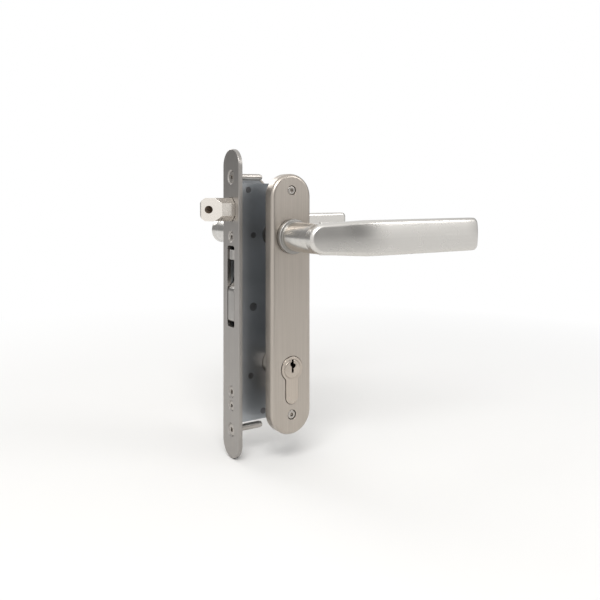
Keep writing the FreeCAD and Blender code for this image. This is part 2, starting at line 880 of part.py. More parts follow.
def make_latch_tail():
    """A block that holds the stem, a plate beside the follower's arm, and the driving pin."""
    low = latch_height - 5.5
    high = latch_height + 5.5
    outer = tail_plate_inner + tail_plate_thick
    tail = block(latch_rear, tail_back, -tail_block_side, outer, low, high)
    tail = tail.cut(rod_x(stem_neck_radius, latch_rear - 1, tail_back + 1, 0.0, latch_height))
    pin_wall = tail_pin_radius + 1.3
    tail_end = tail_pin_x + pin_wall
    top = tail_pin_height + pin_wall
    plate = outline(
        at_y(tail_plate_inner),
        (latch_rear, low),
        (latch_rear + 6.0, low),
        (tail_end - pin_wall, tail_pin_height - pin_wall),
        ((tail_end, tail_pin_height), (tail_end - pin_wall, top)),
        (latch_rear + 4.0, top),
        (latch_rear, high),
    )
    tail = tail.fuse(plate.extrude(V(0, tail_plate_thick, 0)))
    pin = rod_y(tail_pin_radius, -5.0, tail_plate_inner + 1.0, tail_pin_x, tail_pin_height)
    return tail.fuse(pin).removeSplitter()


def coil(radius, wire, length, turns, first_leg=0.0, last_leg=0.0):
    """A helical spring that stands on z = 0, with a straight leg at each end where one is asked for."""
    steps = round(turns * wire_steps)
    places = []
    for n in range(steps + 1):
        places.append((2 * math.pi * turns * n / steps, wire / 2 + (length - wire) * n / steps, 0.0))
    if first_leg:
        places.insert(0, (places[0][0], places[0][1], -first_leg))
    if last_leg:
        places.append((places[-1][0], places[-1][1], last_leg))
    sections = []
    for around, height, along in places:
        points = []
        for m in range(wire_sides + 1):
            b = 2 * math.pi * (m + 0.5) / wire_sides
            out = radius + wire / 2 * math.cos(b)
            x = out * math.cos(around) - along * math.sin(around)
            y = out * math.sin(around) + along * math.cos(around)
            points.append(V(x, y, height + wire / 2 * math.sin(b)))
        sections.append(Part.makePolygon(points))
    return Part.makeLoft(sections, True, True)


def make_latch_spring():
    """A leg spring round its post. One leg stands behind the tail's block, the other on the case's boss."""
    x, z = spring_post
    length = leg_wire + leg_turns * leg_pitch
    spring = coil(leg_coil_radius, leg_wire, length, leg_turns, latch_height + 4.5 - z, boss_length + 2.0)
    spring = spring.mirror(V(0, 0, 0), V(1, 0, 0))
    spring.rotate(V(0, 0, 0), V(1, 0, 0), -90)
    spring.translate(V(x, 0.5 - case_inner, z))
    return spring


def make_return_spring():
    """A compression spring between the plunger's cap and its seat."""
    spring = coil(return_coil_radius, return_wire, return_spring_length, return_turns)
    spring.translate(V(tab_place_x, 0, seat_top))
    return spring


# The follower's tab presses on the plunger here
tab_place_x = tab_radius * (1 + math.cos(math.radians(half_turn))) / 2
plunger_top = tab_radius * math.sin(math.radians(half_turn)) - tab_round - contact_gap
return_spring_top = plunger_top - plunger_cap
seat_top = return_spring_top - return_spring_length


def make_return_plunger():
    cap = rod_z(plunger_radius, plunger_top - plunger_cap, plunger_top, tab_place_x, 0.0)
    stem = rod_z(plunger_stem, seat_top - seat_height - 1.0, plunger_top - plunger_cap, tab_place_x, 0.0)
    return cap.fuse(stem).removeSplitter()


def make_spring_seat():
    """A block riveted against the case's back wall, bored for the plunger's stem."""
    inner = case_back - case_wall
    edge = tab_place_x - plunger_radius - 0.5
    foot = seat_top - seat_height
    seat = block(edge, inner, -case_inner, case_inner, foot, seat_top)
    return seat.cut(rod_z(plunger_stem + running, foot - 1, seat_top + 1, tab_place_x, 0.0))


def make_hook_bolt():
    """The hook, retracted: a round foot about its pivot, a shank, and a nose over the throat."""
    face = forend_face + hook_flush
    top = hook_top
    under = top - hook_nose
    shank_front = face + hook_throat
    shank_back = shank_front + hook_shank
    ramp_foot = hook_z + hook_ramp_foot
    ramp_top = ramp_foot + hook_ramp_rise
    foot_back = hook_z + math.sqrt(hook_lobe ** 2 - (shank_back - hook_x) ** 2)
    turn = math.sqrt(0.5)
    corner = 2.5
    hook = outline(
        at_y(-hook_thickness / 2),
        (face, hook_z),
        (face, ramp_foot),
        (shank_front - 3.0, ramp_top),
        (shank_front, ramp_top + 4.5),
        (shank_front, under - 2.0),
        ((shank_front - 2.0 * (1 - turn), under - 2.0 * (1 - turn)), (shank_front - 2.0, under)),
        (face + 0.8, under),
        ((face + 0.8 * (1 - turn), under + 0.8 * (1 - turn)), (face, under + 0.8)),
        (face, top - 0.8),
        ((face + 0.8 * (1 - turn), top - 0.8 * (1 - turn)), (face + 0.8, top)),
        (shank_back - corner, top),
        ((shank_back - corner * (1 - turn), top - corner * (1 - turn)), (shank_back, top - corner)),
        (shank_back, foot_back),
        ((hook_x + hook_lobe * turn, hook_z - hook_lobe * turn), (hook_x, hook_z - hook_lobe)),
        ((hook_x - hook_lobe * turn, hook_z - hook_lobe * turn), (face, hook_z)),
    )
    hook = hook.extrude(V(0, hook_thickness, 0))
    half = hook_thickness / 2
    for side in (-1, 1):
        chamfer = hook_nose_chamfer

        def plan(x, y, s=side):
            return V(x, s * y, under - 1.0)

        wedge = outline(
            plan,
            (face - 1.0, half + 1.0),
            (face + chamfer + 1.0, half + 1.0),
            (face - 1.0, half - chamfer - 1.0),
        )
        hook = hook.cut(wedge.extrude(V(0, 0, hook_nose + 2.0)))
    hook = hook.cut(rod_y(hook_pin_radius + running, -hook_thickness, hook_thickness, hook_x, hook_z))
    return hook.cut(rod_y(drive_pin_radius, -hook_thickness, hook_thickness, drive_pin_x, drive_pin_z))


def make_hook_drive_pin():
    outer = drive_inner + drive_thickness
    return rod_y(drive_pin_radius, -hook_thickness / 2, outer, drive_pin_x, drive_pin_z)


def make_drive_plate():
    """A sheet that rises when the key turns: a slotted head on the hook's pin, an arm past the
    cylinder with a lug for the cam, and a slot on the guide post."""
    gap = drive_slot_gap
    pin_far = hook_x + drive_pin_offset
    head_left = hook_x + hook_pin_radius + 2 * slide_gap
    head_right = pin_far + drive_pin_radius + gap + 2.0
    head_top = drive_pin_z + drive_pin_radius + gap + 3.0
    head_bottom = cylinder_z + barrel_radius + 2.0 + slide_gap
    arm_left = case_front + case_wall + 1.6
    arm_right = -barrel_radius - 4 * slide_gap
    arm_top = hook_z - hook_pin_radius - drive_travel - 1.2
    guide_z = cylinder_z - guide_post_drop
    slot_half = post_radius + 0.1
    slot_low = guide_z - drive_travel - slot_half - 0.2
    slot_high = guide_z + slot_half + 0.2
    arm_bottom = slot_low - 2.5
    lower_right = guide_post_x + slot_half + 2.6 + notch_radius
    step = cylinder_z - notch_place + arm_step
    plate = outline(
        at_y(drive_inner),
        (head_left, head_top),
        (head_right, head_top),
        (head_right, head_bottom),
        (arm_right, head_bottom),
        (arm_right, step),
        (lower_right, step - 3.0),
        (lower_right, arm_bottom),
        (arm_left, arm_bottom),
        (arm_left, arm_top),
        (head_left, arm_top),
    )
    plate = plate.extrude(V(0, drive_thickness, 0))
    deep = V(0, drive_thickness + 2, 0)
    pin_slot = block(
        drive_pin_x - drive_pin_radius - gap,
        pin_far + drive_pin_radius + gap,
        drive_inner - 1,
        drive_inner + drive_thickness + 1,
        drive_pin_z - drive_pin_radius - gap,
        drive_pin_z + drive_pin_radius + gap,
    )
    plate = plate.cut(pin_slot)
    guide = stadium(at_y(drive_inner - 1), slot_half, slot_low, slot_high)
    guide.translate(V(guide_post_x, 0, 0))
    plate = plate.cut(guide.extrude(deep))
    notch_z = cylinder_z - notch_place
    outer = drive_inner + drive_thickness
    for z in (notch_z, notch_z - drive_travel):
        plate = plate.cut(rod_y(notch_radius, drive_inner - 1, outer + 1, lower_right, z))
    lug_top = cylinder_z + cam_half_lobe + 2.0
    lug = block(
        arm_left,
        -cam_reach - 4 * slide_gap,
        -cam_half_width,
        drive_inner + drive_thickness,
        lug_top - lug_height,
        lug_top,
    )
    return plate.fuse(lug).removeSplitter()


def make_detent_spring():
    """A strip held round its post, with a bump that drops into the drive plate's notches."""
    slot_half = post_radius + 0.1
    edge = guide_post_x + slot_half + 2.6 + notch_radius
    bump_z = cylinder_z - notch_place
    bump = notch_radius - contact_gap
    post_x, post_z = detent_post
    outer = post_radius + detent_strip + 0.05
    right = post_x - post_radius - 0.05
    left = right - detent_strip
    tip = edge - notch_radius + contact_gap + bump
    strip = outline(
        at_y(drive_inner),
        (right, post_z),
        (left, post_z),
        (left, bump_z - 2.4),
        (tip, bump_z - bump),
        ((tip - bump, bump_z), (tip, bump_z + bump)),
        (left, bump_z + 2.4),
        (left, bump_z + 4.0),
        (right, bump_z + 4.0),
    )
    strip = strip.extrude(V(0, drive_thickness, 0))
    far = drive_inner + drive_thickness
    loop = rod_y(outer, drive_inner, far, post_x, post_z)
    strip = strip.fuse(loop)
    strip = strip.cut(rod_y(post_radius + 0.05, drive_inner - 1, far + 1, post_x, post_z))
    return strip.removeSplitter()


def pin_places():
    """Distances of the pin chambers from the middle of the cylinder."""
    return [pin_first + n * pin_spacing for n in range(pin_count)]


def make_cylinder_body():
    half = cylinder_half_length
    body = euro_profile(at_y(-half), 0.0).extrude(V(0, 2 * half, 0))
    body = body.cut(rod_y(plug_radius + running, -half - 1, half + 1, 0.0, cylinder_z))
    top = cylinder_z + barrel_radius + 1
    side = barrel_radius + 1
    body = body.cut(block(-side, side, -cam_gap, cam_gap, cylinder_z - web_top, top))
    body = body.cut(
        rod_x(cylinder_screw_radius, -leg_half_width - 1, leg_half_width + 1, 0.0, cylinder_screw_z)
    )
    bottom = cylinder_z - leg_bottom + chamber_plug
    for place in pin_places():
        for side in (-1, 1):
            height = V(0, 0, cylinder_z - plug_radius + 0.5 - bottom)
            chamber = prism(at_z(bottom), pin_radius + pin_gap, pin_sides, (0.0, side * place), height)
            body = body.cut(chamber)
    return body


def keyway(y0, y1):
    """The warded keyway: a slot that jogs to one side and back."""
    half = keyway_width / 2
    top = cylinder_z + keyway_top
    bottom = cylinder_z - keyway_bottom
    jog = 1.4
    third = (top - bottom) / 3
    face = outline(
        at_y(y0),
        (-half, bottom),
        (half, bottom),
        (half, bottom + third * 0.7),
        (half + jog, bottom + third * 1.1),
        (half + jog, bottom + third * 1.7),
        (half, bottom + third * 2.0),
        (half, top),
        (-half, top),
        (-half, bottom + third * 2.3),
        (-half - jog * 0.6, bottom + third * 2.0),
        (-half - jog * 0.6, bottom + third * 1.6),
        (-half, bottom + third * 1.2),
    )
    return face.extrude(V(0, y1 - y0, 0))


def make_plug():
    """The front plug, with the spigot that carries half of the cam."""
    face = -cylinder_half_length - plug_proud
    inner = -cam_half_width - clip_thickness - 0.1
    plug = rod_y(plug_radius, face, inner, 0.0, cylinder_z)
    rim = [e for e in plug.Edges if e.BoundBox.YMax < face + 0.01]
    plug = plug.makeChamfer(plug_chamfer, rim)
    groove_end = inner + clip_thickness
    plug = plug.fuse(rod_y(clip_groove, inner, groove_end, 0.0, cylinder_z))
    plug = plug.fuse(rod_y(spigot_radius, groove_end, -slide_gap, 0.0, cylinder_z)).removeSplitter()
    plug = plug.cut(keyway(face - 1, -pin_first + pin_radius + 0.5))
    bottom = cylinder_z - plug_radius - 1
    height = V(0, 0, cylinder_z - keyway_bottom + 0.2 - bottom)
    for place in pin_places():
        plug = plug.cut(prism(at_z(bottom), pin_radius + pin_gap, pin_sides, (0.0, -place), height))
    return plug


def make_plug_clip():
    inner = -cam_half_width - clip_thickness - 0.1
    clip = rod_y(clip_radius, inner, inner + clip_thickness, 0.0, cylinder_z)
    clip = clip.cut(rod_y(clip_groove, inner - 1, inner + clip_thickness + 1, 0.0, cylinder_z))
    outer = inner + clip_thickness + 1
    opening = block(-2.0, 2.0, inner - 1, outer, cylinder_z, cylinder_z + clip_radius + 1)
    return clip.cut(opening)


def make_cam():
    """The cam between the two plugs, its lobe resting beside the web below."""
    half = cam_half_width
    lobe = outline(
        at_y(-half),
        (-cam_half_lobe, 0.0),
        (cam_half_lobe, 0.0),
        (cam_half_lobe, -math.sqrt(cam_reach ** 2 - cam_half_lobe ** 2)),
        ((0.0, -cam_reach), (-cam_half_lobe, -math.sqrt(cam_reach ** 2 - cam_half_lobe ** 2))),
    )
    lobe = lobe.extrude(V(0, 2 * half, 0))
    lobe.rotate(V(0, 0, 0), V(0, 1, 0), -cam_rest_angle)
    lobe.translate(V(0, 0, cylinder_z))
    cam = rod_y(cam_radius, -half, half, 0.0, cylinder_z).fuse(lobe).removeSplitter()
    return cam.cut(rod_y(spigot_radius + running, -half - 1, half + 1, 0.0, cylinder_z))


def make_key_pins():
    top = cylinder_z - keyway_bottom
    bottom = cylinder_z - plug_radius + 0.1
    height = V(0, 0, top - bottom)
    return [prism(at_z(bottom), pin_radius, pin_sides, (0.0, -place), height) for place in pin_places()]


def in_chambers(shape):
    """A copy of the shape in every chamber of the body. It stands on the middle of the cylinder."""
    copies = []
    for place in pin_places():
        for side in (-1, 1):
            piece = shape.copy()
            piece.translate(V(0, side * place, cylinder_z))
            copies.append(piece)
    return copies


driver_top = -plug_radius - running - 0.15
driver_bottom = driver_top - driver_length
chamber_bottom = chamber_plug - leg_bottom


def make_driver_pins():
    height = V(0, 0, driver_length)
    return in_chambers(prism(at_z(driver_bottom), pin_radius, pin_sides, (0.0, 0.0), height))


def make_pin_springs():
    """Close-wound, so each is a sleeve here."""
    height = V(0, 0, driver_bottom - chamber_bottom)
    spring = prism(at_z(chamber_bottom), pin_radius, pin_sides, (0.0, 0.0), height)
    bore = prism(at_z(chamber_bottom), pin_radius - pin_wire, pin_sides, (0.0, 0.0), height)
    return in_chambers(spring.cut(bore))


def mirrored(shape):
    return shape.mirror(V(0, 0, 0), V(0, 1, 0))


def save(name, shape):
    if isinstance(shape, list):
        shape = Part.makeCompound(shape)
    for solid in shape.Solids:
        if not solid.isValid():
            print("not valid:", name)
    print(name, len(shape.Solids), round(shape.Volume, 1))
    shape.exportStep(os.path.join("parts", name + ".step"))


def main():
    os.makedirs("parts", exist_ok=True)
    save("forend", make_forend())
    save("fixing_screws", make_fixing_screws())
    save("case_screws", make_case_screws())
    save("cylinder_screw", make_cylinder_screw())
    save("case_shell", make_case_shell())
    save("case_cover", make_case_cover())
    save("case_posts", make_case_posts())
    save("front_backplate", make_cover(True))
    save("rear_backplate", mirrored(make_cover(False)))
    save("front_support_plate", make_front_support())
    save("rear_support_plate", make_rear_support())
    save("through_bolts", make_through_bolts())
    save("sleeve_nuts", make_sleeve_nuts())
    save("lever_bushes", make_lever_bushes())
    save("lever_rings", make_lever_rings())
    lever = make_lever()
    save("front_lever", lever)
    save("rear_lever", mirrored(lever))
    save("grub_screws", make_grub_screws())
    save("spindle", make_spindle())
    save("follower", make_follower())
    save("return_plunger", make_return_plunger())
    save("return_spring", make_return_spring())
    save("spring_seat", make_spring_seat())
    save("latch_bolt", make_latch_bolt())
    save("latch_stem", make_latch_stem())
    save("latch_tail", make_latch_tail())
    save("latch_spring", make_latch_spring())
    save("hook_bolt", make_hook_bolt())
    save("hook_pivot_pin", make_hook_pivot_pin())
    save("hook_drive_pin", make_hook_drive_pin())
    save("drive_plate", make_drive_plate())
    save("detent_spring", make_detent_spring())
    save("cylinder_body", make_cylinder_body())
    plug = make_plug()
    save("front_plug", plug)
    save("rear_plug", mirrored(plug))
    save("cam", make_cam())
    clip = make_plug_clip()
    save("front_plug_clip", clip)
    save("rear_plug_clip", mirrored(clip))
    pins = make_key_pins()
    save("front_key_pins", pins)
    save("rear_key_pins", [mirrored(pin) for pin in pins])
    save("driver_pins", make_driver_pins())
    save("pin_springs", make_pin_springs())


main()
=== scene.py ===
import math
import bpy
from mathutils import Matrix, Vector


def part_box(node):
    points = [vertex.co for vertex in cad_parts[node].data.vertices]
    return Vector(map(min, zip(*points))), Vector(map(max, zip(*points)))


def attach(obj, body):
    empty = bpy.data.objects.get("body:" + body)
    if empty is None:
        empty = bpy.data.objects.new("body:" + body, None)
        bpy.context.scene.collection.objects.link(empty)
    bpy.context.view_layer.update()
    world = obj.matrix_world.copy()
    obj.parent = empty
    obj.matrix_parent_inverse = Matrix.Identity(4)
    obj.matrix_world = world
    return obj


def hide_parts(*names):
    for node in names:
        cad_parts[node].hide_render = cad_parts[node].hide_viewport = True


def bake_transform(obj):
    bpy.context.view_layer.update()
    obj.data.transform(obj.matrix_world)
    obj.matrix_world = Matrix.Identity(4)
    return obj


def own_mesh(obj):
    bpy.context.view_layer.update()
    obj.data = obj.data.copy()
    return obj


bl_info = {
    "name": "Mortise Gate Lock",
    "version": (1, 0, 0),
    "blender": (4, 5, 0),
    "location": "3D View > Sidebar > Gate Lock",
    "description": "Models and finishes a mortise gate lock on its CAD frame, and sets its stage",
    "category": "Object",
}

import bmesh
import bpy
from bpy.props import FloatProperty, FloatVectorProperty, PointerProperty
from mathutils import Matrix, Vector

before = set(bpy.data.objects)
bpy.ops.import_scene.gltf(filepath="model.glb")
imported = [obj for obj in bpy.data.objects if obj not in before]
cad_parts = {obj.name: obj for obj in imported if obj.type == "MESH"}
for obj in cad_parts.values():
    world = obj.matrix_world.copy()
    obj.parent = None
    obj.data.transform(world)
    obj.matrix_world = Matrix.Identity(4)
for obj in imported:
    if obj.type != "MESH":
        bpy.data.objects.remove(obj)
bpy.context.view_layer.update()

mm = 0.001
X = Vector((1, 0, 0))
Y = Vector((0, 1, 0))
Z = Vector((0, 0, 1))

past = 1.0 * mm                  # how far a cutter reaches past what it cuts
hair = 1e-6                      # how near to a plane counts as on it
weld = 1e-7                      # how near two points are when they count as one

boxes = {node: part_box(node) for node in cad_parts}


def low(node):
    return boxes[node][0]


def high(node):
    return boxes[node][1]


# Places on the lock, read from the frame. The spindle's axis is Y through the origin.
forend_front = low("forend").x
plate_face = high("rear_backplate").y
plate_back = low("rear_backplate").y
cylinder_z = (low("front_plug").z + high("front_plug").z) / 2


def linear(hex_colour):
    """An sRGB hex value as a linear colour."""
    channels = []
    for shift in (16, 8, 0):
        c = (hex_colour >> shift & 255) / 255
        channels.append(c / 12.92 if c <= 0.04045 else ((c + 0.055) / 1.055) ** 2.4)
    return channels


def length(name, description, millimetres):
    return FloatProperty(
        name=name, description=description, default=millimetres * mm, min=0.0, unit="LENGTH", precision=5
    )


def tint(name, description, hex_colour):
    return FloatVectorProperty(
        name=name, description=description, default=linear(hex_colour), size=3, min=0.0, max=1.0,
        subtype="COLOR",
    )


class ForendSizes(bpy.types.PropertyGroup):
    bevel: length("Edge bevel", "Bevel round the forend's face", 0.6)
    fixing_head: length("Fixing head", "Radius of the two fixing screws' heads", 5.0)
    case_head: length("Case head", "Radius of the two case screws' heads", 4.0)
    cylinder_head: length("Cylinder head", "Radius of the cylinder screw's head", 4.4)
    head_drop: length("Head drop", "How far the screws' heads lie below the face", 0.75)
    thread_pitch: length("Thread pitch", "Pitch of the M5 screws", 0.8)


class BoltSizes(bpy.types.PropertyGroup):
    latch_chamfer: length("Latch chamfer", "Cut off each corner of the latch bolt", 3.8)
    latch_blunt: length("Latch tip", "Flat left at the tip of the bevel", 1.8)
    latch_hole: length("Latch hole", "Radius of the hole's mouth in the bevel", 2.75)
    key_hole: length("Key hole", "Radius of the hole for the key that turns the stem", 2.2)
    hole_side: length("Hole side", "How far the hole's mouth lies to the side of the middle", 0.6)
    nose_chamfer: length("Nose chamfer", "Cut off the edges of the hook's nose", 2.4)
    hook_toe: length("Hook toe", "How far the hook's flat face runs below its pivot", 10.3)


class PlateSizes(bpy.types.PropertyGroup):
    wall: length("Wall", "Sheet thickness of the drawn cover", 1.6)
    rim: length("Rim radius", "Rounding round the face of the cover", 2.6)
    cutout_gap: length("Cut-out gap", "Gap between the cover and the cylinder", 0.25)
    bolt_head: length("Bolt head", "Radius of the through-bolts' heads", 3.1)


class LeverSizes(bpy.types.PropertyGroup):
    neck: length("Neck radius", "Radius of the round neck", 10.2)
    collar: length("Collar radius", "Radius of the collar at the foot of the neck", 12.2)
    collar_height: length("Collar height", "Height of the collar", 3.6)
    grip_height: length("Grip height", "Height of the grip", 24.0)
    grip_thickness: length("Grip thickness", "Thickness of the grip", 9.0)
    grip_round: length("Grip rounding", "Rounding along the grip's edges", 2.5)
    grip_crown: length("Grip crown", "How far the outer face falls back at its long edges", 1.4)
    tip_crown: length("Tip crown", "How far the outer face falls back at its tip", 1.3)
    tip_corner: length("Tip corner", "Radius of the two corners at the tip", 4.0)
    flare: length("Flare", "Spindle axis to where the grip has its full height", 30.0)
    elbow: length("Elbow", "Plate face to the outer face at the neck", 39.0)
    tip: length("Tip", "Plate face to the outer face at the tip", 52.6)
    fillet: length("Elbow fillet", "Radius inside the elbow", 8.0)
    slope: FloatProperty(
        name="Elbow slope",
        description="Slope of the outer face over the neck",
        default=math.radians(14.0),
        min=0.0,
        max=math.radians(45.0),
        subtype="ANGLE",
    )


class CylinderSizes(bpy.types.PropertyGroup):
    barrel: length("Barrel radius", "Radius of the round part of the cylinder", 8.5)
    leg: length("Leg half width", "Half the width of the cylinder's leg", 5.0)
    drop: length("Leg drop", "Cylinder axis to the foot of the leg", 24.5)
    plug: length("Plug radius", "Radius of the plug", 6.5)
    keyway: length("Keyway width", "Width of the keyway", 1.6)


class Finishes(bpy.types.PropertyGroup):
    forend: tint("Forend", "Ground stainless steel of the forend", 0xA5A19D)
    plate: tint("Plates", "Brushed stainless steel of the backplates", 0xB5ADA4)
    lever: tint("Levers", "Satin stainless steel of the lever handles", 0xD2CFCA)
    nickel: tint("Nickel", "Nickel plate on the latch bolt", 0xEBE5DD)
    hook: tint("Hook", "Tumbled steel of the hook bolt", 0xA9A6A2)
    cylinder: tint("Cylinder", "Satin nickel plate on the cylinder", 0xBDB3A8)
    screw: tint("Screws", "Turned stainless steel of the screws", 0xB5B0AA)
    zinc_plate: tint("Zinc plate", "Zinc plated sheet of the case", 0xA9ADB1)
    cast: tint("Casting", "Die cast zinc of the support plates", 0x8E9092)


class StageSettings(bpy.types.PropertyGroup):
    floor: tint("Floor", "Colour of the floor", 0xF4F3F1)
    light: FloatProperty(
        name="Light", description="Power of the main lamp, in watts", default=9.0, min=0.0, subtype="POWER"
    )


def settings(name):
    return getattr(bpy.context.scene, "gate_lock_" + name)


# Mesh work


def facing(direction, origin):
    """The matrix that takes local +Z to the direction and local zero to the origin."""
    return Matrix.Translation(origin) @ direction.to_track_quat("Z", "Y").to_matrix().to_4x4()


def rod(bm, radius, start, end, steps=48, end_radius=None):
    """A round rod from start to end, or a cone where the end has its own radius."""
    axis = end - start
    bmesh.ops.create_cone(
        bm,
        cap_ends=True,
        segments=steps,
        radius1=radius,
        radius2=radius if end_radius is None else end_radius,
        depth=axis.length,
        matrix=facing(axis, (start + end) / 2),
    )


def slab(bm, corner, opposite):
    """A block between two opposite corners."""
    place = Matrix.Translation((corner + opposite) / 2) @ Matrix.Diagonal((*(opposite - corner), 1.0))
    bmesh.ops.create_cube(bm, size=1.0, matrix=place)


def flat_face(bm, points):
    return bm.faces.new([bm.verts.new(p) for p in points])


def pull(bm, face, along):
    """Draws a face out into a solid."""
    drawn = bmesh.ops.extrude_face_region(bm, geom=[face], use_keep_orig=True)["geom"]
    moved = [v for v in drawn if isinstance(v, bmesh.types.BMVert)]
    bmesh.ops.translate(bm, verts=moved, vec=along)


def level_edges(bm):
    """The edges that lie square to Y."""
    return [e for e in bm.edges if abs(e.verts[0].co.y - e.verts[1].co.y) < hair]


def round_corners(bm, verts, radius, steps=6):
    bmesh.ops.bevel(
        bm, geom=verts, affect="VERTICES", offset=radius, segments=steps, profile=0.5, material=-1
    )


def round_edges(bm, edges, radius, steps):
    bmesh.ops.bevel(
        bm, geom=edges, affect="EDGES", offset=radius, segments=steps, profile=0.5, material=-1,
        clamp_overlap=True,
    )


def round_strip(bm, half_width, bottom, top, place, steps=96):
    """An upright strip with round ends: a circle whose halves are moved apart."""
    circle = bmesh.ops.create_circle(
        bm, cap_ends=True, segments=steps, radius=half_width, matrix=Matrix.Rotation(math.pi / steps, 4, "Z")
    )["verts"]
    upper = [v for v in circle if v.co.y > 0]
    lower = [v for v in circle if v.co.y < 0]
    bmesh.ops.translate(bm, verts=upper, vec=(0, top - half_width, 0))
    bmesh.ops.translate(bm, verts=lower, vec=(0, bottom + half_width, 0))
    face = circle[0].link_faces[0]
    bmesh.ops.transform(bm, verts=circle, matrix=place)
    return face


# Local x and y to world Y and Z, for pieces seen from the forend, and to world X and Z for the plates
from_forend = Matrix(((0, 0, 1, 0), (1, 0, 0, 0), (0, 1, 0, 0), (0, 0, 0, 1)))
from_front = Matrix(((1, 0, 0, 0), (0, 0, 1, 0), (0, 1, 0, 0), (0, 0, 0, 1)))


def to_rear(bm):
    """Turns a piece of the lock's front into its mirror image at the rear."""
    bmesh.ops.scale(bm, verts=bm.verts, vec=(1, -1, 1))
    bmesh.ops.reverse_faces(bm, faces=bm.faces)


def settle(bm, before, axis, origin):
    """Joins the doubles of what was spun, closes its open ends and sets it on its axis."""
    spun = [v for v in bm.verts if v not in before]
    bmesh.ops.remove_doubles(bm, verts=spun, dist=weld)
    spun = [v for v in bm.verts if v not in before]
    # Dicts keep edges and faces in order, where sets would order them otherwise in each run
    open_edges = dict.fromkeys(e for v in spun for e in v.link_edges if e.is_boundary)
    bmesh.ops.holes_fill(bm, edges=list(open_edges), sides=0)
    bmesh.ops.transform(bm, verts=spun, matrix=facing(axis, origin))
    faces = dict.fromkeys(f for v in spun for f in v.link_faces)
    bmesh.ops.recalc_face_normals(bm, faces=list(faces))


def turned(bm, profile, axis, origin, steps=64):
    """Spins a profile of (radius, distance along the axis) into a closed turned piece."""
    before = set(bm.verts)
    verts = [bm.verts.new((r, 0, h)) for r, h in profile]
    edges = [bm.edges.new(pair) for pair in zip(verts, verts[1:])]
    bmesh.ops.spin(
        bm, geom=verts + edges, cent=(0, 0, 0), axis=Z, angle=2 * math.pi, steps=steps, use_merge=True
    )
    settle(bm, before, axis, origin)


def thread(bm, shank, pitch, turns, axis, origin, steps=20):
    """A threaded rod: a tooth spun along a helix, with both its ends closed."""
    root = shank * 0.82
    crest = shank * 0.99
    before = set(bm.verts)
    verts = [bm.verts.new(p) for p in ((root, 0, 0), (crest, 0, pitch / 2), (root, 0, pitch))]
    edges = [bm.edges.new(pair) for pair in zip(verts, verts[1:])]
    bmesh.ops.spin(
        bm,
        geom=verts + edges,
        cent=(0, 0, 0),
        axis=Z,
        dvec=(0, 0, pitch / steps),
        angle=2 * math.pi * turns,
        steps=steps * turns,
    )
    settle(bm, before, axis, origin)


def hexagon(bm, across, start, end):
    """A cutter for a hexagon socket."""
    rod(bm, across / math.sqrt(3), start, end, steps=6)


def new_object(name, bm):
    mesh = bpy.data.meshes.new(name)
    bm.to_mesh(mesh)
    bm.free()
    piece = bpy.data.objects.new(name, mesh)
    bpy.context.scene.collection.objects.link(piece)
    return piece


def carve(piece, cutters):
    """Cuts the closed shapes in the cutters' mesh out of a piece."""
    bmesh.ops.recalc_face_normals(cutters, faces=cutters.faces)
    tool = new_object("cutter", cutters)
    modifier = piece.modifiers.new("Cut", "BOOLEAN")
    modifier.object = tool
    modifier.operation = "DIFFERENCE"
    modifier.solver = "EXACT"
    carved = bpy.data.meshes.new_from_object(piece.evaluated_get(bpy.context.evaluated_depsgraph_get()))
    if len(carved.polygons) < 4:
        raise RuntimeError(piece.name + " was cut away")
    piece.modifiers.clear()
    old = piece.data
    name = old.name
    piece.data = carved
    bpy.data.meshes.remove(old)
    carved.name = name
    bpy.data.meshes.remove(tool.data)


def add_threads(piece, threads):
    """Adds threads to a finished piece. Each is a tuple of what thread takes."""
    bm = bmesh.new()
    bm.from_mesh(piece.data)
    for values in threads:
        thread(bm, *values)
    bm.to_mesh(piece.data)
    bm.free()


def soften(piece, width, steps=2, limit=35.0):
    """Rounds the edges that are left sharp, and keeps flat faces flat to the eye."""
    for polygon in piece.data.polygons:
        polygon.use_smooth = True
    if width:
        edge = piece.modifiers.new("Edges", "BEVEL")
        edge.width = width
        edge.segments = steps
        edge.limit_method = "ANGLE"
        edge.angle_limit = math.radians(limit)
        edge.use_clamp_overlap = True
        edge.miter_outer = "MITER_ARC"
    normals = piece.modifiers.new("Normals", "WEIGHTED_NORMAL")
    normals.weight = 50
    normals.keep_sharp = True


def dress(piece, finish, body, slot, *nodes):
    """Gives a piece its finish, the body it rides on and the CAD nodes it stands for."""
    materials = finish if isinstance(finish, (list, tuple)) else [finish]
    for material in materials:
        piece.data.materials.append(material)
    if body:
        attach(piece, body)
    if nodes:
        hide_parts(*nodes)


# Finishes


def add(tree, kind, values=(), links=()):
    """Adds a node, sets its sockets or properties by name, and links its inputs."""
    node = tree.nodes.new(kind)
    for name, value in dict(values).items():
        if isinstance(name, int) or name in node.inputs:
            node.inputs[name].default_value = value
        else:
            setattr(node, name, value)
    for name, source in dict(links).items():
        tree.links.new(source, node.inputs[name])
    return node


def new_finish(name):
    """A material with an empty tree, or the one made before, with no tree."""
    material = bpy.data.materials.get(name)
    if material:
        return material, None
    material = bpy.data.materials.new(name)
    material.use_nodes = True
    material.node_tree.nodes.clear()
    return material, material.node_tree


def finish_colour(name):
    return list(getattr(settings("finishes"), name))


def shade(colour, factor):
    return [min(1.0, c * factor) for c in colour]


def colour_ramp(tree, factor, stops):
    ramp = add(tree, "ShaderNodeValToRGB", links={"Fac": factor})
    points = ramp.color_ramp.elements
    while len(points) < len(stops):
        points.new(0.5)
    for point, (place, colour) in zip(points, stops):
        point.position = place
        point.color = (*colour, 1.0)
    return ramp.outputs["Color"]


